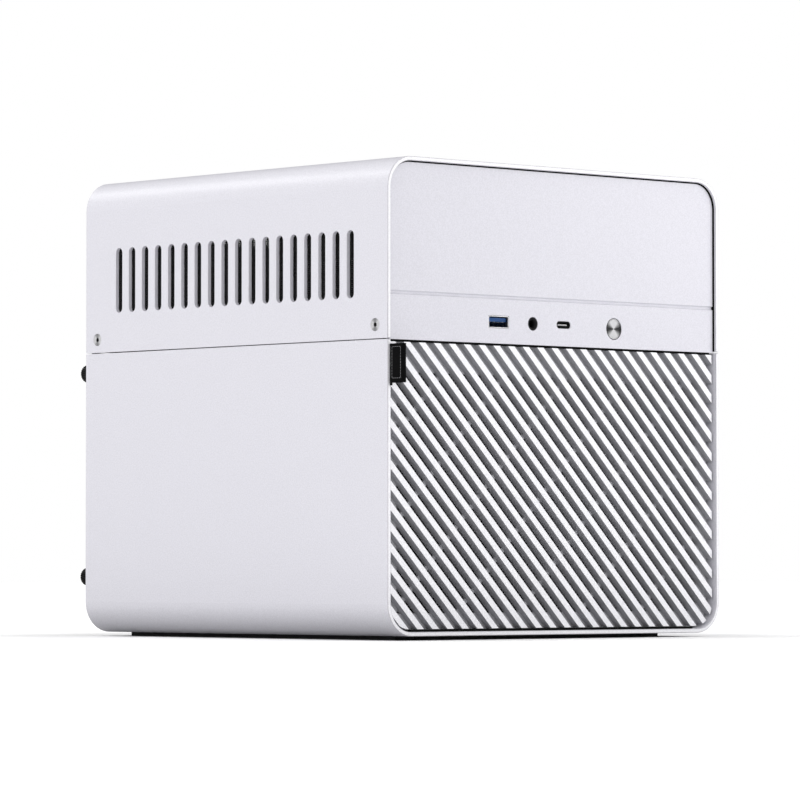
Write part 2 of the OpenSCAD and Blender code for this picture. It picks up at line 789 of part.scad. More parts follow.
module place_psu_fan() {
    translate([psu_x + 1 + fan_depth, psu_fan_y, psu_fan_z]) rotate([0, -90, 0]) children();
}

module psu_fan_frame() {
    color(plastic_black) place_psu_fan() fan_frame(psu_fan_size, fan_depth, psu_fan_pitch);
}

module psu_fan_rotor() {
    color([0.2, 0.2, 0.22]) place_psu_fan() fan_rotor(psu_fan_size, fan_depth, 7);
}

// ---- Motherboard ----

module motherboard_pcb() {
    color(board_black) difference() {
        block([board_x0, board_y1 - board_size, board_z], [board_x0 + board_size, board_y1, board_top]);
        for (p = board_holes) translate([board_x0 + p[0], board_y1 - p[1], board_z - 1]) cylinder(r = 1.95, h = 4);
    }
}

// Hexagonal standoffs and the pan-head screws in them
module board_fasteners() {
    for (p = board_holes) translate([board_x0 + p[0], board_y1 - p[1], 0]) {
        color([0.75, 0.6, 0.3]) translate([0, 0, tray_top]) cylinder(r = 3, h = standoff_h, $fn = 6);
        color(silver) translate([0, 0, board_z]) cylinder(r = 1.5, h = board_t + 0.1);
        color(silver) translate([0, 0, board_top]) cylinder(r = 2.8, h = 2);
    }
}

module cpu_socket() {
    color(zinc) {
        difference() {
            translate([cpu_x - 28, cpu_y - 26, board_top]) cube([56, 52, 4]);
            translate([cpu_x - 21, cpu_y - 19, board_top + 1.5]) cube([42, 38, 4]);
        }
        translate([cpu_x - 18.7, cpu_y - 18.7, board_top + 1.5 + eps]) cube([37.4, 37.4, 3.3]);
        translate([cpu_x - 30.5, cpu_y - 24, board_top + 2]) cube([1.6, 46, 1.6]);
        translate([cpu_x - 30.5, cpu_y + 20, board_top + 2]) cube([4, 2, 1.6]);
    }
}

// Base plate, upright fins and four legs
module cooler_heatsink() {
    fin_pitch = 3.6;
    fins = 25;
    base_z = board_top + 5;
    color(silver) {
        translate([cpu_x - 19, cpu_y - 19, base_z]) cube([38, 38, fins_z - base_z + eps]);
        translate([cpu_x - cooler_size / 2, cpu_y - cooler_size / 2, fins_z]) cube([cooler_size, cooler_size, 3]);
        for (i = [0 : fins - 1])
            translate([cpu_x - (fins - 1) / 2 * fin_pitch + i * fin_pitch - 0.35, cpu_y - cooler_size / 2,
                fins_z + 3 - eps]) cube([0.7, cooler_size, fins_h - 3]);
        for (x = [-1, 1], y = [-1, 1]) translate([cpu_x + x * 37.5, cpu_y + y * 37.5, board_top])
            cylinder(r = 2.5, h = fins_z - board_top + eps);
    }
}

module place_cooler_fan() {
    translate([cpu_x, cpu_y, fins_z + fins_h + 0.2]) children();
}

module cooler_fan_frame() {
    color(plastic_black) place_cooler_fan() fan_frame(cooler_size, fan_depth, cooler_pitch);
}

module cooler_fan_rotor() {
    color([0.2, 0.2, 0.22]) place_cooler_fan() fan_rotor(cooler_size, fan_depth, 9);
}

module ram_module(i) {
    x = ram_x[i - 1];
    color([0.1, 0.1, 0.12]) {
        translate([x - 0.6, ram_y, board_top + 2]) cube([1.2, ram_l, 31]);
        for (side = [-1, 1], y = [0 : 7])
            translate([x + side * 1.1 - 0.5, ram_y + 6 + y * 15.5, board_top + 15]) cube([1, 11, 13]);
    }
}

module on_board(corner, size) {
    translate([board_x0 + corner[0], board_y1 - corner[1], board_top]) cube(size);
}

// Memory slots, power sockets, drive sockets and the expansion slot
module board_connectors() {
    color(plastic_black) {
        for (x = ram_x) difference() {
            translate([x - 3.2, ram_y - 1.5, board_top]) cube([6.4, ram_l + 3, 8]);
            translate([x - 0.65, ram_y - 0.05, board_top + 1.9]) cube([1.3, ram_l + 0.1, 9]);
        }
        on_board(expansion_slot[0], expansion_slot[1]);
        on_board(main_power[0], main_power[1]);
        for (i = [0 : 3]) on_board(data_socket[0] + [i * 9, 0], data_socket[1]);
        on_board(cpu_power[0], cpu_power[1]);
    }
    color([0.25, 0.25, 0.28]) on_board(chipset_sink[0], chipset_sink[1]);
}

module io_shield() {
    color(silver) upright(rear_in - 0.7, rear_in - 0.1) difference() {
        translate([shield_x0 - 1.2, shield_z0 - 1.2]) square([shield_w + 2.4, shield_h + 2.4]);
        for (p = io_ports) translate([p[0] - p[1] / 2 - 0.3, board_top - 0.2]) square([p[1] + 0.6, p[2] + 0.7]);
        for (x = antenna_x) translate([shield_x0 + x, board_top + 12]) circle(3.5);
    }
}

module rear_io_ports() {
    y0 = board_y1 - 20;
    y1 = rear_in + 0.4;
    color(silver) {
        for (p = io_ports) difference() {
            block([p[0] - p[1] / 2, y0, board_top], [p[0] + p[1] / 2, y1, board_top + p[2]]);
            for (row = [0 : floor(p[2] / 8) - 1])
                block([p[0] - p[1] / 2 + 1, y1 - 9, board_top + 1.2 + row * 7.8],
                    [p[0] + p[1] / 2 - 1, y1 + 1, board_top + 6.6 + row * 7.8]);
        }
        for (x = antenna_x) rod_y(shield_x0 + x, board_top + 12, y0, rear_in + 8, 3.1);
    }
}

module slot_cover() {
    color(zinc) {
        upright(rear_in - 1, rear_in - 0.1) translate([expansion_x - 9.2, 146]) square([18.4, 74]);
        block([expansion_x - 9.2, rear_in - 9, 219.1], [expansion_x + 9.2, rear_in - 0.1, 220]);
    }
}

lower_shell();
foot_strips();
base_plate();
front_frame();
drive_cage();
motherboard_tray();
rear_panel();
front_fascia();
front_io_board();
usb_a_shell();
usb_a_tongue();
usb_c_shell();
usb_c_tongue();
audio_jack();
power_switch();
grille_clips();
backplane_board();
psu_case();
psu_inlet();
psu_switch_frame();
psu_fan_frame();
psu_fan_rotor();
psu_rocker();
motherboard_pcb();
board_fasteners();
cpu_socket();
cooler_heatsink();
cooler_fan_frame();
cooler_fan_rotor();
ram_module(1);  // ram_module_1
ram_module(2);  // ram_module_2
board_connectors();
io_shield();
rear_io_ports();
slot_cover();
upper_cover();
side_mesh(-1);  // side_mesh_left
side_mesh(1);  // side_mesh_right
cover_screws();
front_grille();
grille_mesh();
grille_studs();
grille_pull_tab();
power_button();
switch_plunger();
fan_plate();
rear_fan_frame();
rear_fan_guard();
fan_screws();
rear_fan_rotor();
thumbscrew(0);  // thumbscrew_1
thumbscrew(1);  // thumbscrew_2
thumbscrew(2);  // thumbscrew_3
thumbscrew(3);  // thumbscrew_4
drive(1);  // drive_1
drive(2);  // drive_2
drive(3);  // drive_3
drive(4);  // drive_4
drive(5);  // drive_5
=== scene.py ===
"""Looks of the compact desktop computer tower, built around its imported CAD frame.

Units are metres in the frame's own axes: +Z is up, the front faces -Y, and the floor is z = 0.
"""
import json
import math
from collections import Counter
from itertools import product

import bmesh
import bpy
from mathutils import Matrix, Vector


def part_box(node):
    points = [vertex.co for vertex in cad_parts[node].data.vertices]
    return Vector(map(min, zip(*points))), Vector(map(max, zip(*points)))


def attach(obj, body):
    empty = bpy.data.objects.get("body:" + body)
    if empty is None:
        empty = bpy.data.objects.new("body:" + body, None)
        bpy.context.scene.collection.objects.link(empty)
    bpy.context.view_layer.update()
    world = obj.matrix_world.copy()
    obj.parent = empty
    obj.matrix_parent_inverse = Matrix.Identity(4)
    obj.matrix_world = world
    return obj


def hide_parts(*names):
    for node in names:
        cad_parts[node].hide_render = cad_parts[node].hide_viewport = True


MM = 0.001
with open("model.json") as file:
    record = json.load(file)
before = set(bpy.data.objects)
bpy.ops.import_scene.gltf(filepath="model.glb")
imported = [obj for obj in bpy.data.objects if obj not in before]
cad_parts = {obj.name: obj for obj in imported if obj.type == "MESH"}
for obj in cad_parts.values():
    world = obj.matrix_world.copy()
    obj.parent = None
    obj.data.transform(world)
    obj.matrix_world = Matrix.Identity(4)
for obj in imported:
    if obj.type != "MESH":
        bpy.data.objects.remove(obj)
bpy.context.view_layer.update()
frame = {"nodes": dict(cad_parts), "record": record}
scene = bpy.context.scene
LEFT, FRONT, BACK, UP = (-1, 0, 0), (0, -1, 0), (0, 1, 0), (0, 0, 1)
record = frame["record"]
slot_of = {row["node"]: row["material_slot"] for row in record["subparts"]}


# ---- Camera, lights and floor ----

def make_camera():
    """Long lens from the front left, a little above the base."""
    camera = bpy.data.objects.new("camera", bpy.data.cameras.new("camera"))
    scene.collection.objects.link(camera)
    camera.location = (-1.6096, -1.7551, 0.0347)
    camera.rotation_euler = (math.radians(91.992), 0, math.radians(-42.508))
    camera.data.sensor_width = 36
    camera.data.lens = 215.25
    camera.data.clip_start = 0.05
    scene.camera = camera


def make_area_light(name, place, target, size, power, colour=(1, 1, 1)):
    """Soft rectangular light at place, facing target."""
    data = bpy.data.lights.new(name, "AREA")
    data.shape = "RECTANGLE"
    data.size = size[0]
    data.size_y = size[1]
    data.energy = power
    data.color = colour
    light = bpy.data.objects.new(name, data)
    scene.collection.objects.link(light)
    light.location = place
    light.rotation_euler = (Vector(target) - Vector(place)).to_track_quat("-Z", "Y").to_euler()


def put(tree, socket, value):
    """Sets a socket to its number or colour, or links it to another node's output."""
    if isinstance(value, bpy.types.NodeSocket):
        tree.links.new(value, socket)
    else:
        socket.default_value = value


def new_node(tree, kind, settings=(), **inputs):
    """Shader node with its (attribute, value) settings, and its inputs put by name."""
    node = tree.nodes.new("ShaderNode" + kind)
    for name, value in settings:
        setattr(node, name, value)
    for name, value in inputs.items():
        put(tree, node.inputs[name.replace("_", " ")], value)
    return node


def mix_by(tree, factor, a, b, colours=False):
    """Number or colour that is a where factor is 0 and b where it is 1."""
    node = new_node(tree, "Mix", [("data_type", "RGBA" if colours else "FLOAT")])
    kind = 2 if colours else 0
    for k, value in ((0, factor), (2 * kind + 2, a), (2 * kind + 3, b)):
        put(tree, node.inputs[k], value)
    return node.outputs[kind]


def remap(tree, value, low, high, out_low, out_high, curve="LINEAR"):
    """Number that runs from out_low to out_high as value goes from low to high."""
    return new_node(tree, "MapRange", [("interpolation_type", curve)], Value=value, From_Min=low, From_Max=high,
                    To_Min=out_low, To_Max=out_high).outputs["Result"]


def maths(tree, operation, *values):
    """Result of one Math node, whose inputs are numbers or other nodes' outputs."""
    node = new_node(tree, "Math", [("operation", operation)])
    for value, socket in zip(values, node.inputs):
        put(tree, socket, value)
    return node.outputs[0]


def split_xyz(tree, vector):
    return new_node(tree, "SeparateXYZ", Vector=vector).outputs


def camera_ray(tree):
    return new_node(tree, "LightPath").outputs["Is Camera Ray"]


def make_world():
    """White backdrop; as a light it is a little dimmer low down, with a dark card behind the object."""
    world = bpy.data.worlds.new("studio")
    scene.world = world
    world.use_nodes = True
    tree = world.node_tree
    background = tree.nodes["Background"]
    background.inputs["Color"].default_value = (1, 1, 1, 1)
    place = new_node(tree, "TexCoord").outputs["Generated"]
    light = remap(tree, split_xyz(tree, place)["Z"], 0.0, 0.9, 0.8, 0.86, "SMOOTHSTEP")
    card = new_node(tree, "VectorMath", [("operation", "DOT_PRODUCT")])
    put(tree, card.inputs[0], place)
    put(tree, card.inputs[1], (0.66, 0.72, 0.2))
    dim = remap(tree, card.outputs["Value"], 0.72, 0.96, 1.0, 0.12, "SMOOTHSTEP")
    light = maths(tree, "MULTIPLY", light, dim)
    put(tree, background.inputs["Strength"], mix_by(tree, camera_ray(tree), light, 1.0))


def make_floor():
    """Pale floor. For light that bounces onto the object its colour is darker close to the object, which is painted
    shade; the camera sees it pale.
    """
    mesh = bpy.data.meshes.new("floor")
    reach = 6
    mesh.from_pydata([(-reach, -reach, 0), (reach, -reach, 0), (reach, reach, 0), (-reach, reach, 0)], [],
                     [(0, 1, 2, 3)])
    floor = bpy.data.objects.new("floor", mesh)
    scene.collection.objects.link(floor)
    mat = bpy.data.materials.new("pale_floor")
    mat.use_nodes = True
    tree = mat.node_tree
    shader = tree.nodes["Principled BSDF"]
    shader.inputs["Roughness"].default_value = 0.7
    size = new_node(tree, "VectorMath", [("operation", "ABSOLUTE")])
    put(tree, size.inputs[0], new_node(tree, "TexCoord").outputs["Object"])
    split = split_xyz(tree, size.outputs[0])
    outward = maths(tree, "MAXIMUM", split["X"], split["Y"])
    seen = camera_ray(tree)
    # For rays other than the camera's, the floor is darker close to the object: painted shade.
    level = mix_by(tree, seen, remap(tree, outward, 0.11, 0.17, 0.5, 1.0, "SMOOTHSTEP"), 0.97)
    grey = new_node(tree, "CombineColor", Red=level, Green=level, Blue=level)
    put(tree, shader.inputs["Base Color"], grey.outputs[0])
    shader.inputs["Emission Color"].default_value = (1, 1, 1, 1)
    glow = remap(tree, outward, 0.12, 0.26, 0.0, 0.4, "SMOOTHSTEP")
    put(tree, shader.inputs["Emission Strength"], mix_by(tree, seen, 0.0, glow))
    mesh.materials.append(mat)


def make_studio():
    make_world()
    make_area_light("key", (0.5, -0.52, 0.36), (0.03, -0.11, 0.13), (0.4, 0.4), 1.5)
    make_area_light("left_box", (-1.7, -0.1, 1.5), (-0.1, 0, 0.15), (1.0, 1.0), 10)
    make_area_light("front_box", (-0.6, -1.6, 0.45), (0, -0.1, 0.1), (0.9, 0.5), 2.2)
    make_area_light("edge_strip", (-0.56, 1.1, 1.11), (-0.1, 0, 0.21), (0.7, 0.3), 3)
    make_floor()


# ---- Materials ----

class Nodes:
    """A new Principled material and short calls for the nodes that feed it."""

    def __init__(self, name, colour, roughness, metallic=0.0):
        self.mat = bpy.data.materials.new(name)
        self.mat.use_nodes = True
        self.tree = self.mat.node_tree
        self.shader = self.tree.nodes["Principled BSDF"]
        self.colour = colour
        self.set(Base_Color=(*colour, 1), Roughness=roughness, Metallic=metallic)
        self.place = new_node(self.tree, "TexCoord").outputs["Object"]

    def set(self, **inputs):
        for name, value in inputs.items():
            put(self.tree, self.shader.inputs[name.replace("_", " ")], value)
        return self

    def noise(self, scale, detail=2.0, stretch=None):
        place = self.place
        if stretch:
            place = new_node(self.tree, "Mapping", Vector=place, Scale=stretch).outputs[0]
        return new_node(self.tree, "TexNoise", Scale=scale, Detail=detail, Vector=place).outputs["Fac"]

    def line_noise(self, value, scale):
        """Noise along one number."""
        return new_node(self.tree, "TexNoise", [("noise_dimensions", "1D")], Scale=scale, W=value).outputs["Fac"]

    def tint(self, value, low, high, other):
        """Base colour runs from the main colour to other as value goes from low to high."""
        factor = remap(self.tree, value, low, high, 0, 1)
        return self.set(Base_Color=mix_by(self.tree, factor, (*self.colour, 1), (*other, 1), True))

    def rough(self, value, low, high, out_low, out_high):
        return self.set(Roughness=remap(self.tree, value, low, high, out_low, out_high))

    def bump(self, value, distance, strength):
        node = new_node(self.tree, "Bump", Distance=distance, Strength=strength, Height=value)
        return self.set(Normal=node.outputs["Normal"])


def powder_coat(name, colour):
    m = Nodes(name, colour, 0.42)
    m.set(Coat_Weight=0.1, Coat_Roughness=0.25)
    fine = m.noise(1700, 2)
    m.tint(fine, 0.35, 0.65, tuple(0.9 * c for c in colour))
    m.rough(m.noise(900), 0.3, 0.7, 0.36, 0.5)
    m.bump(fine, 0.00004, 0.6)
    return m.mat


def rubber(name, colour, grain=1500, shine=0.5):
    m = Nodes(name, colour, 0.7)
    m.set(Specular_IOR_Level=shine)
    m.bump(m.noise(grain), 0.00005, 0.5)
    m.tint(m.noise(90), 0.4, 0.7, tuple(c * 1.6 for c in colour))
    return m.mat


def moulded(name, colour, roughness=0.45, grain=2200, shine=0.4):
    m = Nodes(name, colour, roughness)
    m.set(Specular_IOR_Level=shine)
    m.rough(m.noise(260), 0.3, 0.7, roughness - 0.06, roughness + 0.08)
    m.bump(m.noise(grain, 1), 0.00003, 0.4)
    m.tint(m.noise(70), 0.35, 0.7, tuple(min(1, c * 1.25 + 0.004) for c in colour))
    return m.mat


def sheet_metal(name, colour, roughness=0.32, along=(40, 900, 900)):
    """Metal with a fine rolled or brushed grain across the two tight axes."""
    m = Nodes(name, colour, roughness, 1.0)
    grain = m.noise(1.0, 3, along)
    m.rough(grain, 0.3, 0.7, roughness - 0.08, roughness + 0.1)
    m.tint(m.noise(35, 4), 0.4, 0.7, tuple(c * 0.86 for c in colour))
    m.bump(grain, 0.00001, 0.5)
    return m.mat


def cast_metal(name, colour, roughness=0.45):
    m = Nodes(name, colour, roughness, 1.0)
    m.bump(m.noise(1300, 3), 0.00005, 0.7)
    m.rough(m.noise(200), 0.3, 0.7, roughness - 0.07, roughness + 0.12)
    return m.mat


def circuit_board(name, colour):
    m = Nodes(name, colour, 0.3)
    m.set(Coat_Weight=0.4, Coat_Roughness=0.15)
    tracks = m.noise(1.0, 0, (900, 120, 300))
    m.tint(tracks, 0.52, 0.54, tuple(min(1, c * 2.2 + 0.01) for c in colour))
    m.bump(tracks, 0.00002, 0.6)
    return m.mat


def ribbon(name):
    m = Nodes(name, (0.002, 0.002, 0.0023), 0.6)
    m.set(Specular_IOR_Level=0.03)
    m.bump(m.noise(1.0, 0, (2600, 2600, 1300)), 0.00008, 0.8)
    m.tint(m.noise(1.0, 0, (1500, 3000, 3000)), 0.45, 0.8, (0.006, 0.006, 0.0065))
    return m.mat


def spun_metal(name, light, shade):
    """Turned face: fine rings, and light and dark sectors that are a painted reflection, darker towards the rim."""
    m = Nodes(name, (light, light, light * 1.02), 0.4, 1.0)
    tree = m.tree
    place = split_xyz(tree, m.place)
    x, y = place["X"], place["Y"]
    angle = maths(tree, "ARCTAN2", y, x)
    radius = maths(tree, "SQRT", maths(tree, "ADD", maths(tree, "MULTIPLY", x, x), maths(tree, "MULTIPLY", y, y)))
    # Painted reflection: two dark and two light sectors round the axis, made uneven with noise and darker towards the
    # rim.
    sector = maths(tree, "COSINE", maths(tree, "MULTIPLY", angle, 2.0))
    uneven = maths(tree, "MULTIPLY", maths(tree, "SUBTRACT", m.line_noise(angle, 9.0), 0.5), 0.4)
    outward = maths(tree, "MULTIPLY", radius, 25.0)
    level = maths(tree, "ADD", maths(tree, "ADD", sector, uneven), outward)
    m.tint(level, -0.25, 1.05, (shade, shade, shade * 1.03))
    rings = m.line_noise(radius, 9000.0)
    m.bump(rings, 0.00002, 0.6)
    m.rough(rings, 0.3, 0.7, 0.28, 0.4)
    return m.mat


FINISHES = (
    (powder_coat, "powder_coat", (0.7, 0.692, 0.747)),
    # A lighter copy of the white coat, painted light on faces that look to the front.
    (powder_coat, "lit_front_coat", (0.86, 0.855, 0.89)),
    # A darker copy of the white coat, painted shade along the shells' rims.
    (powder_coat, "rim_shade_coat", (0.58, 0.573, 0.61)),
    # The turned screws' light and dark sectors are a painted reflection.
    (spun_metal, "turned_screws", 0.68, 0.27),
    (powder_coat, "fascia_coat", (0.635, 0.627, 0.685)),
    (rubber, "foot_rubber", (0.02, 0.02, 0.021)),
    (sheet_metal, "zinc_sheet", (0.62, 0.63, 0.65)),
    (circuit_board, "black_board", (0.012, 0.014, 0.017)),
    (circuit_board, "green_board", (0.01, 0.07, 0.035)),
    (sheet_metal, "socket_metal", (0.5, 0.5, 0.51), 0.3),
    (moulded, "blue_tongue", (0.008, 0.045, 0.15), 0.4, 2200, 0.15),
    (moulded, "grey_tongue", (0.3, 0.3, 0.31), 0.4, 2200, 0.3),
    (moulded, "black_plastic", (0.018, 0.018, 0.02)),
    (moulded, "fan_blades", (0.03, 0.03, 0.033), 0.4),
    (powder_coat, "supply_case", (0.02, 0.02, 0.022)),
    (cast_metal, "drive_alloy", (0.5, 0.51, 0.53)),
    (sheet_metal, "fin_alloy", (0.78, 0.78, 0.8), 0.3, (900, 60, 60)),
    (sheet_metal, "plated_steel", (0.62, 0.62, 0.64), 0.28),
    (sheet_metal, "guard_wire", (0.75, 0.75, 0.76), 0.16),
    (moulded, "black_screws", (0.004, 0.004, 0.004), 0.4, 1500, 0.07),
    (moulded, "dust_mesh", (0.006, 0.006, 0.007), 0.5, 2200, 0.12),
    (moulded, "socket_black", (0.006, 0.006, 0.007), 0.5, 2200, 0.1),
    (ribbon, "tab_ribbon"),
    # The spun button's light and dark sectors are a painted reflection.
    (spun_metal, "spun_metal", 0.335, 0.018),
    (circuit_board, "memory_board", (0.01, 0.012, 0.016)),
    # A darker copy of the grille's coat, painted shade on the sides of its bars.
    (powder_coat, "grille_shaded_side", (0.4, 0.4, 0.425)),
    # Near-black fill for gaps, hole floors and pin holes, painted shade where these are dark.
    (rubber, "dark_shade_fill", (0.003, 0.003, 0.003), 900, 0.05),
    (sheet_metal, "gold", (0.83, 0.6, 0.28), 0.25),
    (rubber, "thread", (0.1, 0.1, 0.105), 3000),
    (moulded, "white_plastic", (0.72, 0.71, 0.66), 0.4),
    (powder_coat, "paper", (0.6, 0.6, 0.585)),
    (moulded, "chip_black", (0.016, 0.016, 0.018), 0.5, 3000, 0.4),
    (sheet_metal, "tin", (0.7, 0.7, 0.7), 0.35),
    (moulded, "ferrite", (0.09, 0.09, 0.095), 0.6, 1800, 0.3),
    (circuit_board, "board_green", (0.006, 0.05, 0.025)),
    (moulded, "lamp_green", (0.03, 0.35, 0.08), 0.25),
    (moulded, "lamp_amber", (0.6, 0.25, 0.03), 0.25),
)


# ---- Mesh code ----

def box_mm(node):
    """Lowest and highest corner of a CAD node, in millimetres."""
    lo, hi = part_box(node)
    return lo / MM, hi / MM


def across(direction):
    """Three unit vectors, the last one along direction."""
    w = Vector(direction).normalized()
    u = w.orthogonal().normalized() if abs(w.z) > 0.9 else Vector(UP).cross(w).normalized()
    return u, w.cross(u), w


class Shape:
    """Solids gathered in millimetres into one mesh."""

    def __init__(self):
        self.verts = []
        self.faces = []

    def add(self, verts, faces):
        base = len(self.verts)
        self.verts.extend(verts)
        self.faces.extend(tuple(base + i for i in face) for face in faces)
        return self

    def box(self, lo, hi):
        (x0, y0, z0), (x1, y1, z1) = lo, hi
        verts = [(x, y, z) for z in (z0, z1) for y in (y0, y1) for x in (x0, x1)]
        return self.add(verts, [(0, 2, 3, 1), (4, 5, 7, 6), (0, 1, 5, 4), (2, 6, 7, 3), (0, 4, 6, 2), (1, 3, 7, 5)])

    def skin(self, rings, loop=False):
        """Joins rings of equal length, each a closed loop of points."""
        n = len(rings[0])
        count = len(rings)
        verts = [tuple(p) for ring in rings for p in ring]
        faces = []
        for a in range(count if loop else count - 1):
            b = (a + 1) % count
            faces.extend((a * n + i, a * n + (i + 1) % n, b * n + (i + 1) % n, b * n + i) for i in range(n))
        if not loop:
            faces.append(tuple(reversed(range(n))))
            faces.append(tuple((count - 1) * n + i for i in range(n)))
        return self.add(verts, faces)

    def turned(self, profile, centre, direction, steps=32, recess=None):
        """Lathed solid from (radius, height) pairs along direction, closed at its ends. A radius of None is
        recess(angle), for a socket that isn't round."""
        u, v, w = across(direction)
        rings = []
        for radius, height in profile:
            middle = Vector(centre) + w * height
            ring = []
            for i in range(steps):
                t = 2 * math.pi * i / steps
                reach = recess(t) if radius is None else max(radius, 0.004)
                ring.append(middle + (u * math.cos(t) + v * math.sin(t)) * reach)
            rings.append(ring)
        return self.skin(rings)

    def rod(self, centre, direction, radius, length, chamfer=0.2, steps=24):
        c = min(chamfer, radius * 0.5, length * 0.45)
        profile = [(radius - c, 0), (radius, c), (radius, length - c), (radius - c, length)]
        return self.turned(profile, centre, direction, steps)

    def hexagon(self, centre, direction, radius, length):
        return self.rod(centre, direction, radius, length, radius * 0.08, 6)

    def screw(self, centre, direction, radius, height, drive="cross", steps=48, shank=0.0):
        """Pan head with a cross or star recess, standing height above centre; shank is its length below."""
        socket = radius * 0.52

        def recess(t):
            if drive == "star":
                return socket * (0.84 + 0.16 * math.cos(6 * t))
            side = (t + math.pi / 4) % (math.pi / 2) - math.pi / 4
            return min(socket, 0.28 * socket / max(abs(math.sin(side)), 0.01))

        rows = [(0.92 * radius, 0), (radius, 0.15 * height), (radius, 0.5 * height), (0.86 * radius, 0.9 * height),
                (0.7 * radius, height), (None, height), (None, 0.35 * height)]
        if shank:
            rows = [(0.4 * radius, -shank), (0.45 * radius, -shank + 0.4), (0.45 * radius, -0.02)] + rows
        return self.turned(rows, centre, direction, steps, recess)

    def tube(self, path, radius, sides=8, loop=False):
        """Round wire along a path of points."""
        path = [Vector(p) for p in path]
        n = len(path)
        rings = []
        up = None
        for i, p in enumerate(path):
            before = path[(i - 1) % n] if loop or i else p
            after = path[(i + 1) % n] if loop or i < n - 1 else p
            w = (after - before).normalized()
            if up is None:
                up = across(w)[0]
            u = (up - w * up.dot(w)).normalized()
            v = w.cross(u)
            up = u
            turn = [2 * math.pi * (k + 0.5) / sides for k in range(sides)]
            rings.append([p + (u * math.cos(t) + v * math.sin(t)) * radius for t in turn])
        return self.skin(rings, loop)

    def piece(self, name, mat, slot=None, bevel=0.0, body="chassis", replaces=(), angle=30, place=None):
        """Makes the Blender object, riding on its body. place is an optional matrix in metres for its axes. slot is
        not used."""
        mesh = bpy.data.meshes.new(name)
        mesh.from_pydata([(x * MM, y * MM, z * MM) for x, y, z in self.verts], [], self.faces)
        work = bmesh.new()
        work.from_mesh(mesh)
        bmesh.ops.recalc_face_normals(work, faces=work.faces)
        work.to_mesh(mesh)
        work.free()
        mesh.materials.append(materials[mat])
        obj = bpy.data.objects.new(name, mesh)
        scene.collection.objects.link(obj)
        if place is not None:
            mesh.transform(place.inverted())
            obj.matrix_world = place
        soften(obj, bevel * MM, angle)
        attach(obj, body)
        if replaces:
            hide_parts(*replaces)


def circle(centre, direction, radius, steps):
    u, v = across(direction)[:2]
    turn = [2 * math.pi * i / steps for i in range(steps)]
    return [Vector(centre) + (u * math.cos(t) + v * math.sin(t)) * radius for t in turn]


# ---- CAD nodes ----

def soften(obj, width, angle=40):
    """Small bevel on the hard edges, with smooth shading between them."""
    mesh = obj.data
    mesh.shade_smooth()
    mesh.set_sharp_from_angle(angle=math.radians(angle))
    if width:
        bevel = obj.modifiers.new("edges", "BEVEL")
        bevel.width = width
        bevel.segments = 2
        bevel.limit_method = "ANGLE"
        bevel.angle_limit = math.radians(angle)
        bevel.harden_normals = True


def round_rims(obj, width):
    """Rounds a shell's front and rear rims in its third material, a darker coat that is painted shade along the rims,
    and keeps its other hard edges as they are.
    """
    mesh = obj.data
    mesh.shade_smooth()
    lo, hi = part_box(obj.name)
    near = 0.01 * MM
    uses = Counter(key for face in mesh.polygons for key in face.edge_keys)
    weights = mesh.attributes.new("bevel_weight_edge", "FLOAT", "EDGE")
    for edge in mesh.edges:
        edge.use_edge_sharp = uses[edge.key] == 1
        depths = [mesh.vertices[i].co.y for i in edge.vertices]
        on_rim = any(all(abs(y - rim) < near for y in depths) for rim in (lo.y, hi.y))
        weights.data[edge.index].value = 1.0 if edge.use_edge_sharp and on_rim else 0.0
    obj.modifiers.new("joined", "WELD").merge_threshold = 0.001 * MM
    bevel = obj.modifiers.new("rims", "BEVEL")
    bevel.width = width
    bevel.segments = 2
    bevel.limit_method = "WEIGHT"
    bevel.material = 2
    bevel.harden_normals = True


def paint_lit_and_shaded_faces(obj, other, front=None):
    """Keeps the front material on faces that look along -Y and puts other on the rest; the two are lit and shaded
    copies of one coat, which paint light and shade on the faces.
    """
    mesh = obj.data
    front_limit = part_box(obj.name)[0].y + 0.5 * MM
    if front:
        mesh.materials[0] = front
    mesh.materials.append(other)
    for face in mesh.polygons:
        facing = face.normal.y < -0.9 and face.center.y < front_limit
        face.material_index = 0 if facing else 1


def dress_cad():
    """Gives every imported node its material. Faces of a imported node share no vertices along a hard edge, so
    a bevel can act on the ball studs alone, and the shells' rims are joined first."""
    finish = {"front_grille": "lit_front_coat", "front_fascia": "fascia_coat", "usb_c_tongue": "grey_tongue",
              "audio_jack": "socket_black", "usb_c_shell": "socket_black"}
    for name, obj in frame["nodes"].items():
        obj.data.materials.clear()
        obj.data.materials.append(materials[finish.get(name, slot_of[name])])
        if name in ("upper_cover", "lower_shell"):
            # Their faces that look to the front get the lighter coat, painted light.
            paint_lit_and_shaded_faces(obj, materials["powder_coat"], materials["lit_front_coat"])
            # Their rims get a darker coat, painted shade.
            obj.data.materials.append(materials["rim_shade_coat"])
            round_rims(obj, 0.35 * MM)
            continue
        if name == "front_grille":
            # The sides of the grille's bars get a darker coat, painted shade.
            paint_lit_and_shaded_faces(obj, materials["grille_shaded_side"])
        soften(obj, 0.12 * MM if name == "grille_studs" else 0)


# ---- Front pieces ----

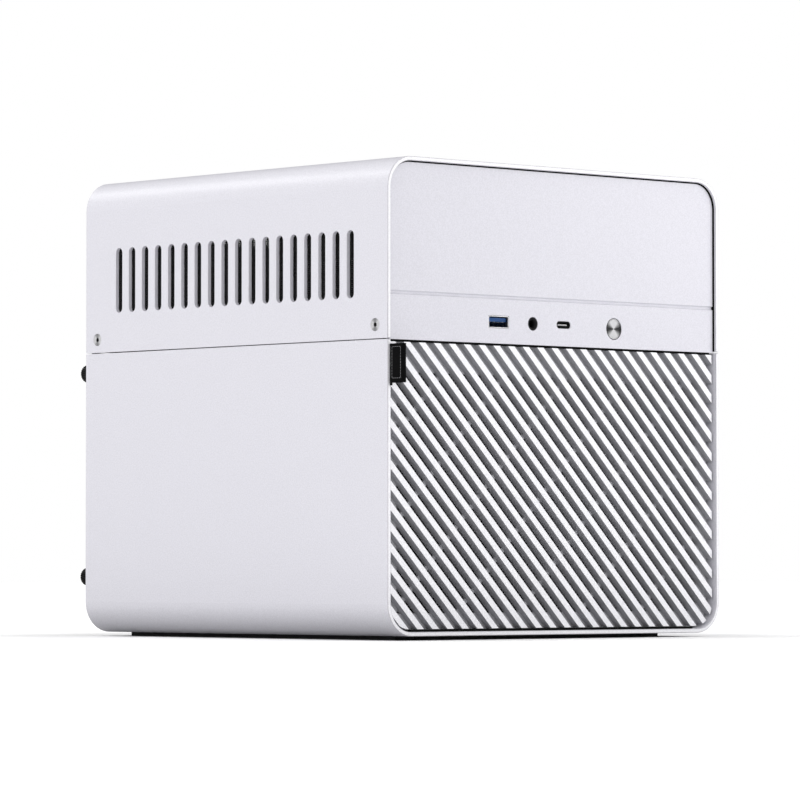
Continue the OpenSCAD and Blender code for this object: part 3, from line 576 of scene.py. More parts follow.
def weave(name, node, body, normal, pitch, wire, margin=0.0):
    """Plain-woven cloth of three-sided wires in the middle of a thin CAD sheet."""
    lo, hi = box_mm(node)
    flat = [k for k in range(3) if k != normal]
    middle = (lo[normal] + hi[normal]) / 2
    lo[flat[1]] += margin
    hi[flat[1]] -= margin
    counts = [max(2, int((hi[k] - lo[k]) / pitch)) for k in flat]
    shape = Shape()
    for run, step in ((0, 1), (1, 0)):
        along, over = flat[run], flat[step]
        for j in range(counts[step] + 1):
            path = []
            for i in range(counts[run] + 1):
                p = [0.0, 0.0, 0.0]
                p[along] = lo[along] + (hi[along] - lo[along]) * i / counts[run]
                p[over] = lo[over] + (hi[over] - lo[over]) * j / counts[step]
                p[normal] = middle + (0.5 if (i + j + run) % 2 else -0.5) * wire
                path.append(p)
            shape.tube(path, wire / 2, 3)
    shape.piece(name, "dust_mesh", body=body, replaces=(node,), angle=80)


def make_meshes():
    for side in ("left", "right"):
        weave("side_cloth_" + side, "side_mesh_" + side, "cover", 0, 0.9, 0.64, margin=4.5)
    weave("grille_cloth", "grille_mesh", "grille", 1, 1.3, 0.55)


def make_button():
    """Spun face, slightly dished, with a flange and stem behind the front sheet."""
    lo, hi = box_mm("power_button")
    sheet_back = box_mm("front_fascia")[1].y
    centre = ((lo.x + hi.x) / 2, lo.y, (lo.z + hi.z) / 2)
    flange = (hi.x - lo.x) / 2
    face = flange - 1.2
    depth = sheet_back + 0.4 - lo.y
    rings = 22
    profile = [(face * i / rings, 0.16 + 0.012 * (i % 2)) for i in range(rings)]
    profile += [(face - 0.55, 0.14), (face - 0.4, 0.0), (face - 0.12, 0.0), (face, 0.14), (face, depth),
                (flange, depth), (flange, depth + 1), (1.75, depth + 1), (1.75, hi.y - lo.y), (0, hi.y - lo.y)]
    place = Matrix.Translation(Vector(centre) * MM) @ Matrix.Rotation(math.radians(90), 4, "X")
    shape = Shape().turned(profile, centre, BACK, 96)
    shape.piece("spun_button", "spun_metal", body="button", replaces=("power_button",), angle=50, place=place)


def make_socket_contacts():
    lo, hi = box_mm("usb_a_tongue")
    x0, x1 = lo.x + 0.7, hi.x - 0.7
    shape = Shape()
    for i in range(4):
        x = x0 + (x1 - x0) * (i + 0.5) / 4
        shape.box((x - 0.55, lo.y + 0.6, hi.z - 2.42), (x + 0.55, lo.y + 8, hi.z - 2.3))
    shape.piece("usb_a_contacts", "socket_metal", bevel=0.03)
    lo, hi = box_mm("usb_c_tongue")
    middle = (lo.z + hi.z) / 2
    shape = Shape()
    for i in range(12):
        x = -2.75 + 0.5 * i + (lo.x + hi.x) / 2
        shape.box((x - 0.13, lo.y + 0.3, middle + 0.33), (x + 0.13, lo.y + 5, middle + 0.39))
    shape.piece("usb_c_contacts", "gold", "socket_metal", 0.02)


def ribbon_outline(steps=10):
    """Centre line of the pull tab's loop in plan, from its root round the fold and back, in millimetres."""
    lo = box_mm("grille_pull_tab")[0]
    rim = box_mm("lower_shell")[0].y
    gap_x = lo.x + 2.0
    left, right = lo.x + 0.15, lo.x + 2.2
    tip = lo.y + (right - left) / 2 + 0.38
    path = [(gap_x, rim + 6.9), (gap_x, rim + 1.0), (gap_x - 0.35, rim - 0.15), (left + 0.45, rim - 0.6),
            (left + 0.1, rim - 1.3), (left, rim - 2.6), (left, rim - 5.5), (left, tip)]
    mid = (left + right) / 2
    for i in range(1, steps):
        t = math.pi * i / steps
        path.append((mid - (right - left) / 2 * math.cos(t), tip - (right - left) / 2 * math.sin(t)))
    path += [(right, tip), (right, rim - 5.5), (right - 0.1, rim - 2.2), (gap_x + 0.32, rim - 0.2)]
    return path


def ribbon_rings(path, z0, z1, rows, half):
    """Cross-sections of a ribbon that stands on edge along path, a little thicker at its two hems."""
    rings = []
    for k in range(rows + 1):
        z = z0 + (z1 - z0) * k / rows
        swell = 0.05 if k in (0, 1, rows - 1, rows) else 0.0
        left_side, right_side = [], []
        for i, (x, y) in enumerate(path):
            ax, ay = path[max(i - 1, 0)]
            bx, by = path[min(i + 1, len(path) - 1)]
            d = Vector((bx - ax, by - ay)).normalized()
            left_side.append((x - d.y * (half + swell), y + d.x * (half + swell), z))
            right_side.append((x + d.y * (half + swell), y - d.x * (half + swell), z))
        rings.append(left_side + right_side[::-1])
    return rings


def make_pull_tab():
    """Woven ribbon folded into a loop, with an edge hem and a box of stitches in place of any mark."""
    lo, hi = box_mm("grille_pull_tab")
    path = ribbon_outline()
    half = 0.33
    shape = Shape()
    shape.skin(ribbon_rings(path, lo.z - 0.5, hi.z - 0.05, 15, half))
    shape.skin(ribbon_rings(path[:4], lo.z - 1.7, lo.z - 0.4, 3, half))
    shape.piece("pull_tab", "tab_ribbon", body="grille", replaces=("grille_pull_tab",), angle=60)
    thread = Shape()
    face_x = lo.x + 0.15 - half
    y0, y1 = lo.y + 1.7, lo.y + 7.6
    z0, z1 = lo.z + 1.6, hi.z - 1.6

    def stitch(a, b):
        mid = ((a[0] + b[0]) / 2, (a[1] + b[1]) / 2)
        points = [(face_x + 0.06, *a), (face_x - 0.05, a[0] * 0.7 + b[0] * 0.3, a[1] * 0.7 + b[1] * 0.3),
                  (face_x - 0.07, *mid), (face_x - 0.05, a[0] * 0.3 + b[0] * 0.7, a[1] * 0.3 + b[1] * 0.7),
                  (face_x + 0.06, *b)]
        thread.tube(points, 0.13, 6)

    long_count, short_count = 11, 4
    for y in (y0, y1):
        for i in range(long_count):
            a = z0 + (z1 - z0) * (i + 0.12) / long_count
            stitch((y, a), (y, a + (z1 - z0) * 0.76 / long_count))
    for z in (z0, z1):
        for i in range(short_count):
            a = y0 + (y1 - y0) * (i + 0.12) / short_count
            stitch((a, z), (a + (y1 - y0) * 0.76 / short_count, z))
    thread.piece("pull_tab_stitches", "thread", "tab_ribbon", body="grille", angle=60)


def make_grille_shade_fill():
    """Black strips in the gaps above and below the grille, a dark fill that is painted shade in those gaps."""
    grille_lo, grille_hi = box_mm("front_grille")
    fascia_lo = box_mm("front_fascia")[0]
    sheet_top = 4.02
    shape = Shape()
    front, back = grille_lo.y + 0.5, grille_hi.y
    for z0, z1, half in ((grille_hi.z + 0.3, fascia_lo.z - 0.02, grille_hi.x - 1),
                         (sheet_top, grille_lo.z - 0.25, grille_hi.x - 13.5)):
        shape.box((-half, front, z0), (half, back, z1))
    shape.piece("grille_shade_fill", "dark_shade_fill", "foot_rubber", 0.1)


def make_fascia_shade_fill():
    """Black strip round the fascia, in the gap that the cover's wall leaves, with a lip along that wall: a dark fill
    that is painted shade in the gap and on the wall's inner face.
    """
    lo, hi = box_mm("front_fascia")
    recess = lo.y - box_mm("upper_cover")[0].y
    corner_r = 12.6
    inner, outer = corner_r - 0.25, corner_r + 0.36
    lip = outer - 0.3
    mid_x, mid_z = hi.x - corner_r, hi.z - corner_r
    steps = 16
    turns = [math.pi - math.pi / 2 * i / steps for i in range(steps + 1)]
    path = [(-mid_x, math.pi, lo.z + 0.6)] + [(-mid_x, t, mid_z) for t in turns]
    path += [(mid_x, t - math.pi / 2, mid_z) for t in turns] + [(mid_x, 0.0, lo.z + 0.6)]
    front, back = lo.y - 0.1, lo.y + 1.7
    tip = lo.y - 0.4 * recess
    section = [(inner, front), (lip, front), (lip, tip), (outer, tip), (outer, back), (inner, back)]
    rings = [[(x + r * math.cos(turn), y, z + r * math.sin(turn)) for r, y in section] for x, turn, z in path]
    Shape().skin(rings).piece("fascia_shade_fill", "dark_shade_fill", "foot_rubber", angle=60)


def make_cover_screws():
    """Turned countersunk screws with a hexagon socket, and the clamp nuts behind the tray's flanges."""
    lo, hi = box_mm("cover_screws")
    height = (lo.z + hi.z) / 2
    radius, socket = 3.05, 1.15
    rows = [(1.3, -9), (1.45, -8.7), (1.45, -1.6), (radius - 0.1, -0.16), (radius, -0.06), (radius - 0.12, 0),
            (2.2, -0.02), (1.5, -0.1), (None, -0.16), (None, -1.2)]
    inset, nut_depth = 3.1, 6.8

    def hexagon(t):
        return socket * math.cos(math.pi / 6) / math.cos((t + math.pi / 6) % (math.pi / 3) - math.pi / 6)

    nuts, floors = Shape(), Shape()
    for number, (side, y) in enumerate(product((-1, 1), (lo.y + inset, hi.y - inset)), 1):
        head = Vector((side * hi.x, y, height))
        out = Vector((side, 0, 0))
        up, along = Vector(UP), out.cross(Vector(UP))
        place = Matrix((up, along, out)).transposed().to_4x4()
        place.translation = head * MM
        screw = Shape().turned(rows, head, out, 48, hexagon)
        screw.piece("cover_screw_%d" % number, "turned_screws", "plated_steel", body="cover", place=place)
        # A near-black hexagon deep in each socket, painted shade.
        floors.hexagon(head - out * 0.8, out, socket * 0.92, 0.25)
        nuts.hexagon((side * (hi.x - nut_depth), y, height), out, 3.1, 2.4)
    nuts.piece("cover_nuts", "plated_steel", bevel=0.15, body="cover", replaces=("cover_screws",))
    floors.piece("cover_screw_sockets", "dark_shade_fill", "plated_steel", body="cover")


# ---- Fans ----

def make_rotor(name, node, body, start, direction, size, blades):
    """Moulded hub with curved, swept blades. start is the open end of the duct's motor side."""
    u, v, w = across(direction)
    start = Vector(start)
    hub = size * 0.165
    depth = 15
    low, high = 3.9, depth - 1.7
    shape = Shape()
    top = depth - 0.8
    shape.turned([(0, 3.6), (hub - 0.3, 3.6), (hub, 3.9), (hub, top - 1.2), (hub - 0.35, top - 0.35),
                  (hub - 1.2, top), (hub * 0.62, top), (hub * 0.58, top - 0.35), (0, top - 0.35)], start, w, 64)
    shape.rod(start + w * 0.8, w, 1.5, 3.2, 0.15)
    spans, chords = 8, 8
    tip = size / 2 - 3.1
    for blade in range(blades):
        rings = []
        for s in range(spans + 1):
            f = s / spans
            r = hub * 0.96 + (tip - hub * 0.96) * f
            sweep = 0.42 * f * f
            width = (2 * math.pi / blades) * (0.80 + 0.12 * f)
            upper, lower = [], []
            for c in range(chords + 1):
                g = c / chords
                turn = 2 * math.pi * blade / blades + sweep + width * (g - 0.5)
                camber = 1.1 * math.sin(math.pi * g)
                z = low + 0.6 + (high - low - 1.2) * g * (1 - 0.18 * f) - camber * 0.5
                thick = 0.25 + 0.45 * math.sin(math.pi * min(1, g * 1.25 + 0.02)) ** 0.5 * (1 - 0.35 * f) \
                    if g < 0.78 else 0.3
                ray = u * math.cos(turn) + v * math.sin(turn)
                upper.append(start + ray * r + w * (z + thick))
                lower.append(start + ray * r + w * (z - thick))
            rings.append(upper + lower[::-1])
        shape.skin(rings)
    shape.piece(name, "fan_blades", body=body, replaces=(node,), angle=50)


def make_fans():
    lead = 0.8
    for name, node, body, direction, size, blades in (
            ("rear_blades", "rear_fan_rotor", "rear_rotor", BACK, 120, 9),
            ("cooler_blades", "cooler_fan_rotor", "cooler_rotor", UP, 92, 9),
            ("supply_blades", "psu_fan_rotor", "supply_rotor", LEFT, 80, 7)):
        lo, hi = box_mm(node)
        axis = Vector(direction)
        start = (lo + hi) / 2 - axis * (abs((hi - lo).dot(axis)) / 2 + lead)
        make_rotor(name, node, body, start, direction, size, blades)


def make_guard(name, centre, direction, size, hole, body, replaces=()):
    """Round wire fan guard with four arms that end in screw eyes."""
    u, v, w = across(direction)
    centre = Vector(centre)
    shape = Shape()
    wire = 0.55
    rings = [size * k for k in (0.1, 0.17, 0.24, 0.31, 0.38, 0.45)]
    for r in rings:
        shape.tube(circle(centre + w * (wire * 2.4), w, r, 72), wire, 8, True)
    eye_r = 2.9
    reach = hole / math.sqrt(2) - eye_r
    for su, sv in product((-1, 1), repeat=2):
        ray = (u * su + v * sv).normalized()
        shape.tube([centre + ray * (rings[0] - 0.3) + w * wire, centre + ray * reach + w * wire], wire, 8)
        eye = centre + (u * su + v * sv) * hole / 2
        shape.tube(circle(eye + w * wire, w, eye_r, 28), wire, 8, True)
    shape.piece(name, "guard_wire", body=body, replaces=replaces, angle=60)


def make_rear_guard():
    plate_back = box_mm("fan_plate")[1].y
    lo, hi = box_mm("rear_fan_frame")
    mid = (lo + hi) / 2
    make_guard("rear_wire_guard", (mid.x, plate_back + 0.02, mid.z), BACK, 120, 105, "rear_fan_plate",
               ("rear_fan_guard",))


# ---- Rear pieces ----

def make_rear_fasteners():
    """Screws that hold the fan to its plate, and the small ones of the power supply's case."""
    lo, hi = box_mm("fan_screws")
    plate = box_mm("fan_plate")
    shape = Shape()
    head = 3.7
    for x, z in product((lo.x + head, hi.x - head), (lo.z + head, hi.z - head)):
        shape.screw((x, plate[1].y, z), BACK, head, 2.0, "cross", 48, 11.4)
    shape.piece("fan_cross_screws", "black_screws", body="rear_fan_plate", replaces=("fan_screws",))
    lo, hi = box_mm("psu_case")
    shape = Shape()
    for x, z in product((lo.x + 6.5, hi.x - 6.5), (lo.z + 7.5, hi.z - 7.5)):
        shape.screw((x, hi.y, z), BACK, 2.6, 1.3)
    shape.piece("supply_case_screws", "black_screws")


def make_rear_sockets():
    """What is inside the sockets on the board's rear edge, and the two aerial sockets."""
    board_top = box_mm("rear_io_ports")[0].z
    face = box_mm("io_shield")[1].y + 0.5
    blue, black, pins, gold = Shape(), Shape(), Shape(), Shape()
    sockets = ((79.5, 14, 2), (61.5, 14, 2), (42.5, 17, 1), (22.5, 16, 1), (2.5, 14, 2), (-49.5, 13, 4))
    for k, (x, w, rows) in enumerate(sockets):
        for row in range(rows):
            z = board_top + 1.2 + row * 7.8
            half = w / 2 - 2.3
            if k == 2:
                for i in range(8):
                    px = x - 3.9 + i * 1.1
                    gold.box((px, face - 7.6, z + 3.9), (px + 0.45, face - 1.6, z + 4.3))
                black.box((x - half - 0.6, face - 8.9, z + 0.2), (x + half + 0.6, face - 8.1, z + 5.2))
                continue
            tongue = blue if k in (0, 1) else black
            low = z + (1.7 if k == 3 else 2.6)
            tongue.box((x - half, face - 8.9, low), (x + half, face - 1.4, low + 1.5))
            for i in range(5):
                px = x - half + (i + 0.5) * 2 * half / 5
                pins.box((px - 0.4, face - 7, low - 0.08), (px + 0.4, face - 1.9, low + 0.02))
    blue.piece("rear_tongues_blue", "blue_tongue", bevel=0.1)
    black.piece("rear_tongues_black", "chip_black", "black_plastic", 0.1)
    pins.piece("rear_contacts", "tin", "socket_metal", 0.03)
    gold.piece("network_contacts", "gold", "socket_metal", 0.05)
    for name, px in (("lamp_green", 36.2), ("lamp_amber", 46.0)):
        lamp = Shape().box((px, face - 1.6, board_top + 9.2), (px + 3, face - 0.02, board_top + 11.2))
        lamp.piece("network_" + name, name, "black_plastic", 0.2)
    thread, core = Shape(), Shape()
    for x in (-29.5, -17.5):
        z = board_top + 12
        start = box_mm("rear_panel")[1].y
        profile = [(2.9, 0)]
        for i in range(12):
            profile += [(3.1, i * 0.5 + 0.15), (3.32, i * 0.5 + 0.3), (3.1, i * 0.5 + 0.45)]
        profile += [(3.1, 6.3), (2.9, 6.52), (2.35, 6.52), (2.3, 6.3), (0, 6.3)]
        thread.turned(profile, (x, start, z), BACK, 40)
        thread.hexagon((x, face + 0.1, z), BACK, 4.6, 1.3)
        core.rod((x, start + 6.2, z), BACK, 1.9, 0.34, 0.08)
        thread.rod((x, start + 6.4, z), BACK, 0.5, 0.3, 0.05)
    thread.piece("aerial_sockets", "gold", "socket_metal")
    core.piece("aerial_cores", "white_plastic", "socket_metal")


def make_slot_cover():
    """Pressed ribs and the screw of the expansion slot's blank cover."""
    lo, hi = box_mm("slot_cover")
    mid = (lo.x + hi.x) / 2
    shape = Shape()
    for x in (mid - 3.4, mid + 3.4):
        shape.box((x - 1.1, hi.y - 0.2, 156), (x + 1.1, hi.y + 0.7, 206))
    shape.piece("slot_cover_ribs", "zinc_sheet", bevel=0.35)
    screw = Shape().screw((mid, hi.y - 4.5, hi.z), UP, 3.1, 1.6)
    screw.piece("slot_cover_screw", "plated_steel")


# ---- Drives ----

def make_drive(number):
    """Cover plate, label, screws, circuit board and socket of one drive."""
    node = "drive_%d" % number
    body = "disk_%d" % number
    lo, hi = box_mm(node)
    y0, z0 = lo.y, lo.z
    plate = Shape()
    corner, steps = 9, 6
    outline = []
    for cy, cz, start in ((y0 + 141 - corner, z0 + 91 - corner, 0), (y0 + 6 + corner, z0 + 91 - corner, 90),
                          (y0 + 6 + corner, z0 + 10 + corner, 180), (y0 + 141 - corner, z0 + 10 + corner, 270)):
        for k in range(steps + 1):
            t = math.radians(start + 90 * k / steps)
            outline.append((cy + corner * math.cos(t), cz + corner * math.sin(t)))
    mid_y, mid_z = y0 + 73.5, z0 + 50.5

    def ring(shrink, x):
        return [(x, mid_y + (y - mid_y) * shrink, mid_z + (z - mid_z) * shrink) for y, z in outline]

    plate.skin([ring(1, lo.x + 0.1), ring(1, lo.x - 0.25), ring(0.985, lo.x - 0.4), ring(0.88, lo.x - 0.4),
                ring(0.86, lo.x - 0.15)])
    plate.turned([(17, 0), (17, 0.2), (16.4, 0.34), (9, 0.34), (8.4, 0.15), (0, 0.15)],
                 (lo.x - 0.12, y0 + 104, mid_z), LEFT, 48)
    plate.piece(node + "_cover", "tin", "drive_alloy", body=body, angle=25)
    label = Shape().box((lo.x - 0.24, y0 + 22, z0 + 17), (lo.x - 0.1, y0 + 84, z0 + 84))
    label.piece(node + "_label", "paper", "drive_alloy", body=body)
    screws = Shape()
    for y, z in product((y0 + 12, y0 + 73.5, y0 + 135), (z0 + 15.5, z0 + 85.5)):
        screws.screw((lo.x - 0.38, y, z), LEFT, 2.1, 0.42, "star", 36)
    for x, z in product((lo.x + 6, hi.x - 5), (z0 + 12, hi.z - 12)):
        screws.screw((x, y0 + 0.05, z), FRONT, 1.7, 0.4, "star", 36)
    screws.piece(node + "_screws", "plated_steel", "drive_alloy", body=body)
    ribs = Shape()
    for k in range(5):
        z = z0 + 26 + k * 12.4
        ribs.box((lo.x + 3, y0 - 0.35, z), (hi.x - 3.2, y0 + 0.1, z + 3.2))
    ribs.piece(node + "_end_ribs", "drive_alloy", bevel=0.3, body=body)
    board_x = hi.x - 1.4
    board = Shape().box((hi.x - 2.9, y0 + 23.6, z0 + 7.6), (board_x + 0.06, y0 + 137.4, z0 + 58.4))
    board.piece(node + "_board", "board_green", "green_board", 0.05, body=body)
    chips = Shape()
    for cy, cz, dy, dz, high in ((50, 34, 14, 14, 0.9), (78, 24, 9, 9, 0.7), (98, 40, 12, 8, 0.9),
                                 (112, 20, 6, 6, 0.6), (66, 48, 7, 4, 0.7), (34, 18, 8, 5, 0.8)):
        chips.box((board_x, y0 + cy - dy / 2, z0 + cz - dz / 2), (board_x + high, y0 + cy + dy / 2, z0 + cz + dz / 2))
    chips.piece(node + "_chips", "chip_black", "black_board", 0.08, body=body)
    small = Shape()
    for k in range(34):
        cy = y0 + 28 + (k * 37) % 104
        cz = z0 + 10.5 + (k * 23) % 45
        small.box((board_x, cy, cz), (board_x + 0.4, cy + 1.6, cz + 0.8))
    small.piece(node + "_small_parts", "tin", "drive_alloy", body=body)
    socket = Shape()
    socket.box((hi.x - 8.8, hi.y - 5.8, z0 + 8.4), (hi.x - 3.2, hi.y - 4, z0 + 51.6))
    socket.box((hi.x - 6.6, hi.y - 4.2, z0 + 10), (hi.x - 5.4, hi.y - 0.5, z0 + 32))
    socket.box((hi.x - 6.6, hi.y - 4.2, z0 + 36), (hi.x - 5.4, hi.y - 0.5, z0 + 48))
    socket.piece(node + "_socket", "chip_black", "black_plastic", 0.1, body=body)
    contacts = Shape()
    for k in range(22):
        z = z0 + 10.8 + k * 1.27 + (6.4 if k > 14 else 0)
        contacts.box((hi.x - 6.66, hi.y - 3.9, z), (hi.x - 6.55, hi.y - 0.9, z + 0.7))
    contacts.piece(node + "_contacts", "gold", "socket_metal", body=body)


def make_backplane():
    """Parts on the rear face of the board behind the drives."""
    lo, hi = box_mm("backplane_board")
    y = hi.y
    black, white, tin = Shape(), Shape(), Shape()
    for k in range(5):
        x = lo.x + 14 + k * 27
        black.box((x - 3, y - 0.05, hi.z - 12), (x + 3, y + 6, hi.z - 3))
        black.box((x - 6, y - 0.05, lo.z + 60), (x - 1, y + 1, lo.z + 65))
        for j in range(4):
            tin.box((x + 4 + j * 1.8, y - 0.03, lo.z + 56), (x + 4.8 + j * 1.8, y + 0.6, lo.z + 57.6))
        tin.turned([(2.6, 0), (3.1, 0.3), (3.1, 6.4), (2.7, 6.9), (0, 6.9)], (x + 5, y - 0.05, lo.z + 46),
                   BACK, 28)
    for x in (lo.x + 36, lo.x + 100):
        white.box((x - 11, y - 0.05, lo.z + 10), (x + 11, y + 9, lo.z + 19))
        for j in range(4):
            tin.rod((x - 7.6 + j * 5.08, y + 8.8, lo.z + 14.5), BACK, 1.1, 0.4, 0.1, 16)
    inset = 4.5
    for x, z in product((lo.x + inset, hi.x - inset), (lo.z + inset, hi.z - inset)):
        tin.screw((x, y - 0.05, z), BACK, 2.8, 1.7)
    black.piece("backplane_sockets", "chip_black", "black_plastic", 0.25)
    white.piece("backplane_power", "white_plastic", "black_plastic", 0.3)
    tin.piece("backplane_parts", "tin", "plated_steel")


# ---- Power supply ----

def make_supply():
    """Fan guard, guard screws and the pin holes of the plug sockets."""
    lo = box_mm("psu_case")[0]
    fan = box_mm("psu_fan_frame")
    mid = (fan[0] + fan[1]) / 2
    pitch = 71.5
    make_guard("supply_wire_guard", (lo.x - 0.02, mid.y, mid.z), LEFT, 80, pitch, "chassis")
    screws = Shape()
    for y, z in product((-pitch / 2, pitch / 2), repeat=2):
        screws.screw((lo.x - 1.1, mid.y + y, mid.z + z), LEFT, 3.0, 1.5)
    screws.piece("supply_guard_screws", "black_screws")
    # The pin holes are near-black patches, painted shade.
    holes = Shape()
    front = lo.y - 0.03
    hole, step = 3, 4.2
    for i, k, a, b in product(range(3), range(4), range(2), range(3)):
        x, z = lo.x + 13.4 + i * 15 + a * step, lo.z + 27.2 + k * 18 + b * step
        holes.box((x, front, z), (x + hole, front + 0.5, z + hole))
    holes.piece("supply_pin_holes", "dark_shade_fill", "black_plastic")


# ---- Main board ----

def make_board_parts():
    """Coils, capacitors, chips, module, battery, pin rows and small parts on the main board."""
    lo, hi = box_mm("motherboard_pcb")
    top = hi.z
    coils, cans, chips, pins, tin, sink, slab, cell = (Shape() for _ in range(8))
    for k in range(8):
        x = -8 + k * 9
        coils.box((x - 3.6, 73.5, top), (x + 3.6, 80.5, top + 5))
    for k in range(9):
        x = -14 + k * 8.4
        cans.turned([(2.2, 0), (2.5, 0.3), (2.5, 1.0), (2.3, 1.2), (2.5, 1.4), (2.5, 7.6), (2.2, 7.95), (0, 7.95)],
                    (x, 84, top), UP, 28)
    for x, y in ((-30, -28), (-24, -28), (66, -26), (60, -26), (-45, 56), (-39.5, 56), (91, 60), (91, 66)):
        cans.turned([(2.6, 0), (3, 0.3), (3, 1.1), (2.8, 1.3), (3, 1.5), (3, 9.2), (2.7, 9.6), (0, 9.6)],
                    (x, y, top), UP, 28)
    sink.box((-38.5, -6, top + 2), (-29.5, 56, top + 6))
    for k in range(5):
        x = -38.5 + k * 2
        sink.box((x, -6, top + 5.9), (x + 1, 56, top + 15))
    for y in (-2, 24, 50):
        chips.box((-37.5, y - 3, top), (-30.5, y + 3, top + 2))
    for x, y, dx, dy, h in ((-2, -36, 10, 10, 1.2), (-50, 45, 7, 7, 1), (-28, 68, 6, 6, 1), (36, -36, 6, 5, 1),
                            (18, -34, 5, 8, 1.1), (92, 10, 5, 5, 1), (92, 28, 4, 6, 1), (-12, 62, 4, 5, 0.9)):
        chips.box((x - dx / 2, y - dy / 2, top), (x + dx / 2, y + dy / 2, top + h))
    slab.box((-60.5, -44, top + 2.4), (-38.9, 35.5, top + 3.2))
    tin.hexagon((-49.5, -42.5, top), UP, 2.4, 2.4)
    tin.screw((-49.5, -42.5, top + 3.2), UP, 2.6, 1.2)
    chips.box((-60.6, 34.6, top), (-38.8, 41, top + 4))
    for y in (-28, -10, 14):
        chips.box((-57.5, y - 6, top + 3.15), (-42.5, y + 6, top + 4.2))
    cell.turned([(9.6, 0), (10, 0.3), (10, 2.6), (9.7, 3.1), (8.2, 3.1), (8.0, 3.2), (0, 3.2)], (-22, -40, top + 1.2),
                UP, 56)
    chips.turned([(11.2, 0), (11.2, 2.2), (10.4, 2.4), (10.2, 1.2), (0, 1.2)], (-22, -40, top), UP, 48)
    pitch, half = 2.54, 0.32
    for x0, y0, nx, ny in ((90.2, -56, 2, 5), (90.2, -38, 2, 4), (-69.5, -56, 2, 5), (-69.5, -40, 2, 4),
                           (4, -41, 4, 1), (90.2, -20, 2, 7)):
        chips.box((x0 - 1.2, y0 - 1.2, top), (x0 + pitch * nx - 1.3, y0 + pitch * ny - 1.3, top + 2.5))
        for i, j in product(range(nx), range(ny)):
            x, y = x0 + pitch * i, y0 + pitch * j
            pins.box((x - half, y - half, top), (x + half, y + half, top + 8.5))
    for k in range(150):
        x = lo.x + 4 + (k * 61.3) % 160
        y = lo.y + 5 + (k * 37.9) % 138
        if k % 2:
            tin.box((x, y, top), (x + 1.5, y + 0.8, top + 0.6))
        else:
            chips.box((x, y, top), (x + 0.8, y + 1.5, top + 0.6))
    for name, shape, mat, slot, bevel in (
            ("board_coils", coils, "ferrite", "black_plastic", 0.8),
            ("board_cans", cans, "tin", "plated_steel", 0),
            ("board_chips", chips, "chip_black", "black_plastic", 0.12),
            ("board_pins", pins, "gold", "plated_steel", 0),
            ("board_small_parts", tin, "tin", "plated_steel", 0),
            ("regulator_sink", sink, "black_screws", "black_screws", 0.2),
            ("storage_module", slab, "board_green", "black_board", 0.05),
            ("board_cell", cell, "plated_steel", "plated_steel", 0)):
        shape.piece(name, mat, slot, bevel)


def make_connector_faces():
    """Pin holes and locks of the board's plug sockets, and the ends of its memory slots."""
    front_y = box_mm("board_connectors")[0].y
    top = box_mm("motherboard_pcb")[1].z
    holes, locks = Shape(), Shape()
    # The holes and slots are near-black patches, painted shade.
    for x0, y0, count, step, hole, height in ((-53.2, -60, 12, 4.2, 2.9, 12.6), (-52.2, 65.7, 4, 4, 2.7, 11.6)):
        for i, j in product(range(count), range(2)):
            x, y = x0 + i * step, y0 + j * step
            holes.box((x, y, top + height), (x + hole, y + hole, top + height + 0.44))
    for i in range(4):
        x = 5 + i * 9
        holes.box((x + 1.2, -59.5, top + 8.6), (x + 2.1, -45.5, top + 9.04))
        holes.box((x + 2.1, -59.5, top + 8.6), (x + 3.6, -58.6, top + 9.04))
    holes.box((-66.6, -20, top + 10.6), (-64.9, 63, top + 11.04))
    locks.box((-33, -51.1, top + 6), (-25, -49.8, top + 11.5))
    locks.box((-48, 73.9, top + 5), (-41, 75, top + 10.5))
    for x, y in product((75, 84), (front_y - 0.2, 73.2)):
        locks.box((x - 2.6, y, top + 1), (x + 2.6, y + 2.4, top + 12.5))
    holes.piece("board_socket_holes", "dark_shade_fill", "black_plastic")
    locks.piece("board_socket_locks", "ferrite", "black_plastic", 0.4)
    for number in (1, 2):
        lo, hi = box_mm("ram_module_%d" % number)
        x = (lo.x + hi.x) / 2
        chips, gold = Shape(), Shape()
        for side in (-1, 1):
            chip, face = x + side * 1.12, x + side * 0.6
            for k in range(8):
                y = lo.y + 6 + k * 15.5
                chips.box((chip - 0.52, y - 0.02, top + 14.98), (chip + 0.52, y + 11.02, top + 28.02))
            for k in range(60):
                y = lo.y + 3 + k * 2.14
                gold.box((face - 0.04, y, top + 2.2), (face + 0.04, y + 1.4, top + 5.5))
            gold.box((face - 0.05, lo.y + 3, top + 9.4), (face + 0.05, hi.y - 3, top + 9.7))
        chips.piece("memory_chips_%d" % number, "chip_black", "memory_board", 0.1)
        gold.piece("memory_contacts_%d" % number, "gold", "memory_board")


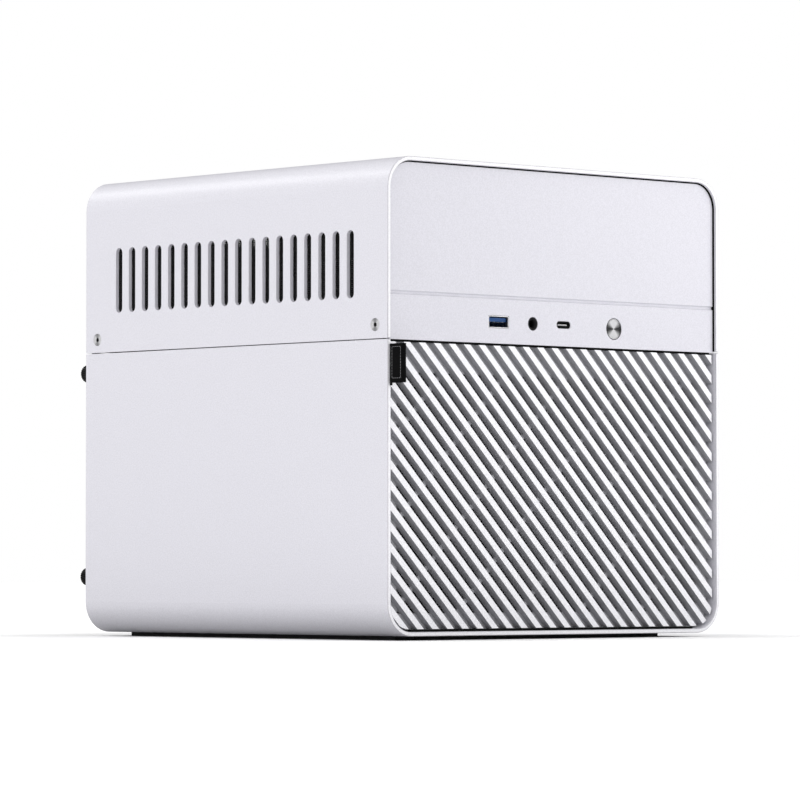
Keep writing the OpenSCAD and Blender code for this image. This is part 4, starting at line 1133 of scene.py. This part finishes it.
def make_front_board():
    """Parts on the small board behind the front sockets."""
    _, back, top = box_mm("front_io_board")[1]
    black, tin, white = Shape(), Shape(), Shape()
    white.box((-28, back - 7, top), (-18, back - 1, top + 5))
    black.box((12, back - 8, top), (26, back - 1.2, top + 7))
    black.box((-6, back - 6.5, top), (-1, back - 1.5, top + 1))
    for k in range(14):
        x = -46 + k * 6.6
        tin.box((x, back - 2.4, top), (x + 1.5, back - 1.6, top + 0.6))
    for x in (-46.5, 46.5):
        tin.screw((x, back - 5, top), UP, 2.4, 1.4)
    black.piece("front_board_sockets", "chip_black", "black_plastic", 0.25)
    white.piece("front_board_plug", "white_plastic", "black_plastic", 0.25)
    tin.piece("front_board_parts", "tin", "plated_steel")


def make_cooler_screws():
    """Screws of the cooler's fan, through the corner holes of its frame."""
    lo, hi = box_mm("cooler_fan_frame")
    mid = (lo + hi) / 2
    shape = Shape()
    pitch = 82.5
    for x, y in product((-pitch / 2, pitch / 2), repeat=2):
        shape.screw((mid.x + x, mid.y + y, hi.z - 0.02), UP, 3.1, 1.7, "cross", 48, 12)
    shape.piece("cooler_fan_screws", "plated_steel")


def make_board_fasteners():
    """Brass standoffs and the pan-head screws in them."""
    foot = box_mm("board_fasteners")[0].z
    lo, hi = box_mm("motherboard_pcb")
    brass, steel = Shape(), Shape()
    holes = ((6.35, 10.16), (163.83, 33.02), (6.35, 165.1), (163.83, 165.1))
    for x, y in holes:
        brass.hexagon((lo.x + x, hi.y - y, foot), UP, 3, lo.z - foot)
        steel.screw((lo.x + x, hi.y - y, hi.z), UP, 2.8, 2.0, "cross", 48, 1.8)
    brass.piece("board_standoffs", "gold", "plated_steel")
    steel.piece("board_screws", "plated_steel", replaces=("board_fasteners",))


make_camera()
scene.view_settings.view_transform = "Standard"
materials = {name: make(name, *values) for make, name, *values in FINISHES}
dress_cad()
make_meshes()
make_button()
make_socket_contacts()
make_pull_tab()
make_grille_shade_fill()
make_fascia_shade_fill()
make_cover_screws()
make_fans()
make_rear_guard()
make_rear_fasteners()
make_rear_sockets()
make_slot_cover()
for number in range(1, 6):
    make_drive(number)
make_backplane()
make_supply()
make_board_parts()
make_connector_faces()
make_front_board()
make_cooler_screws()
make_board_fasteners()
make_studio()
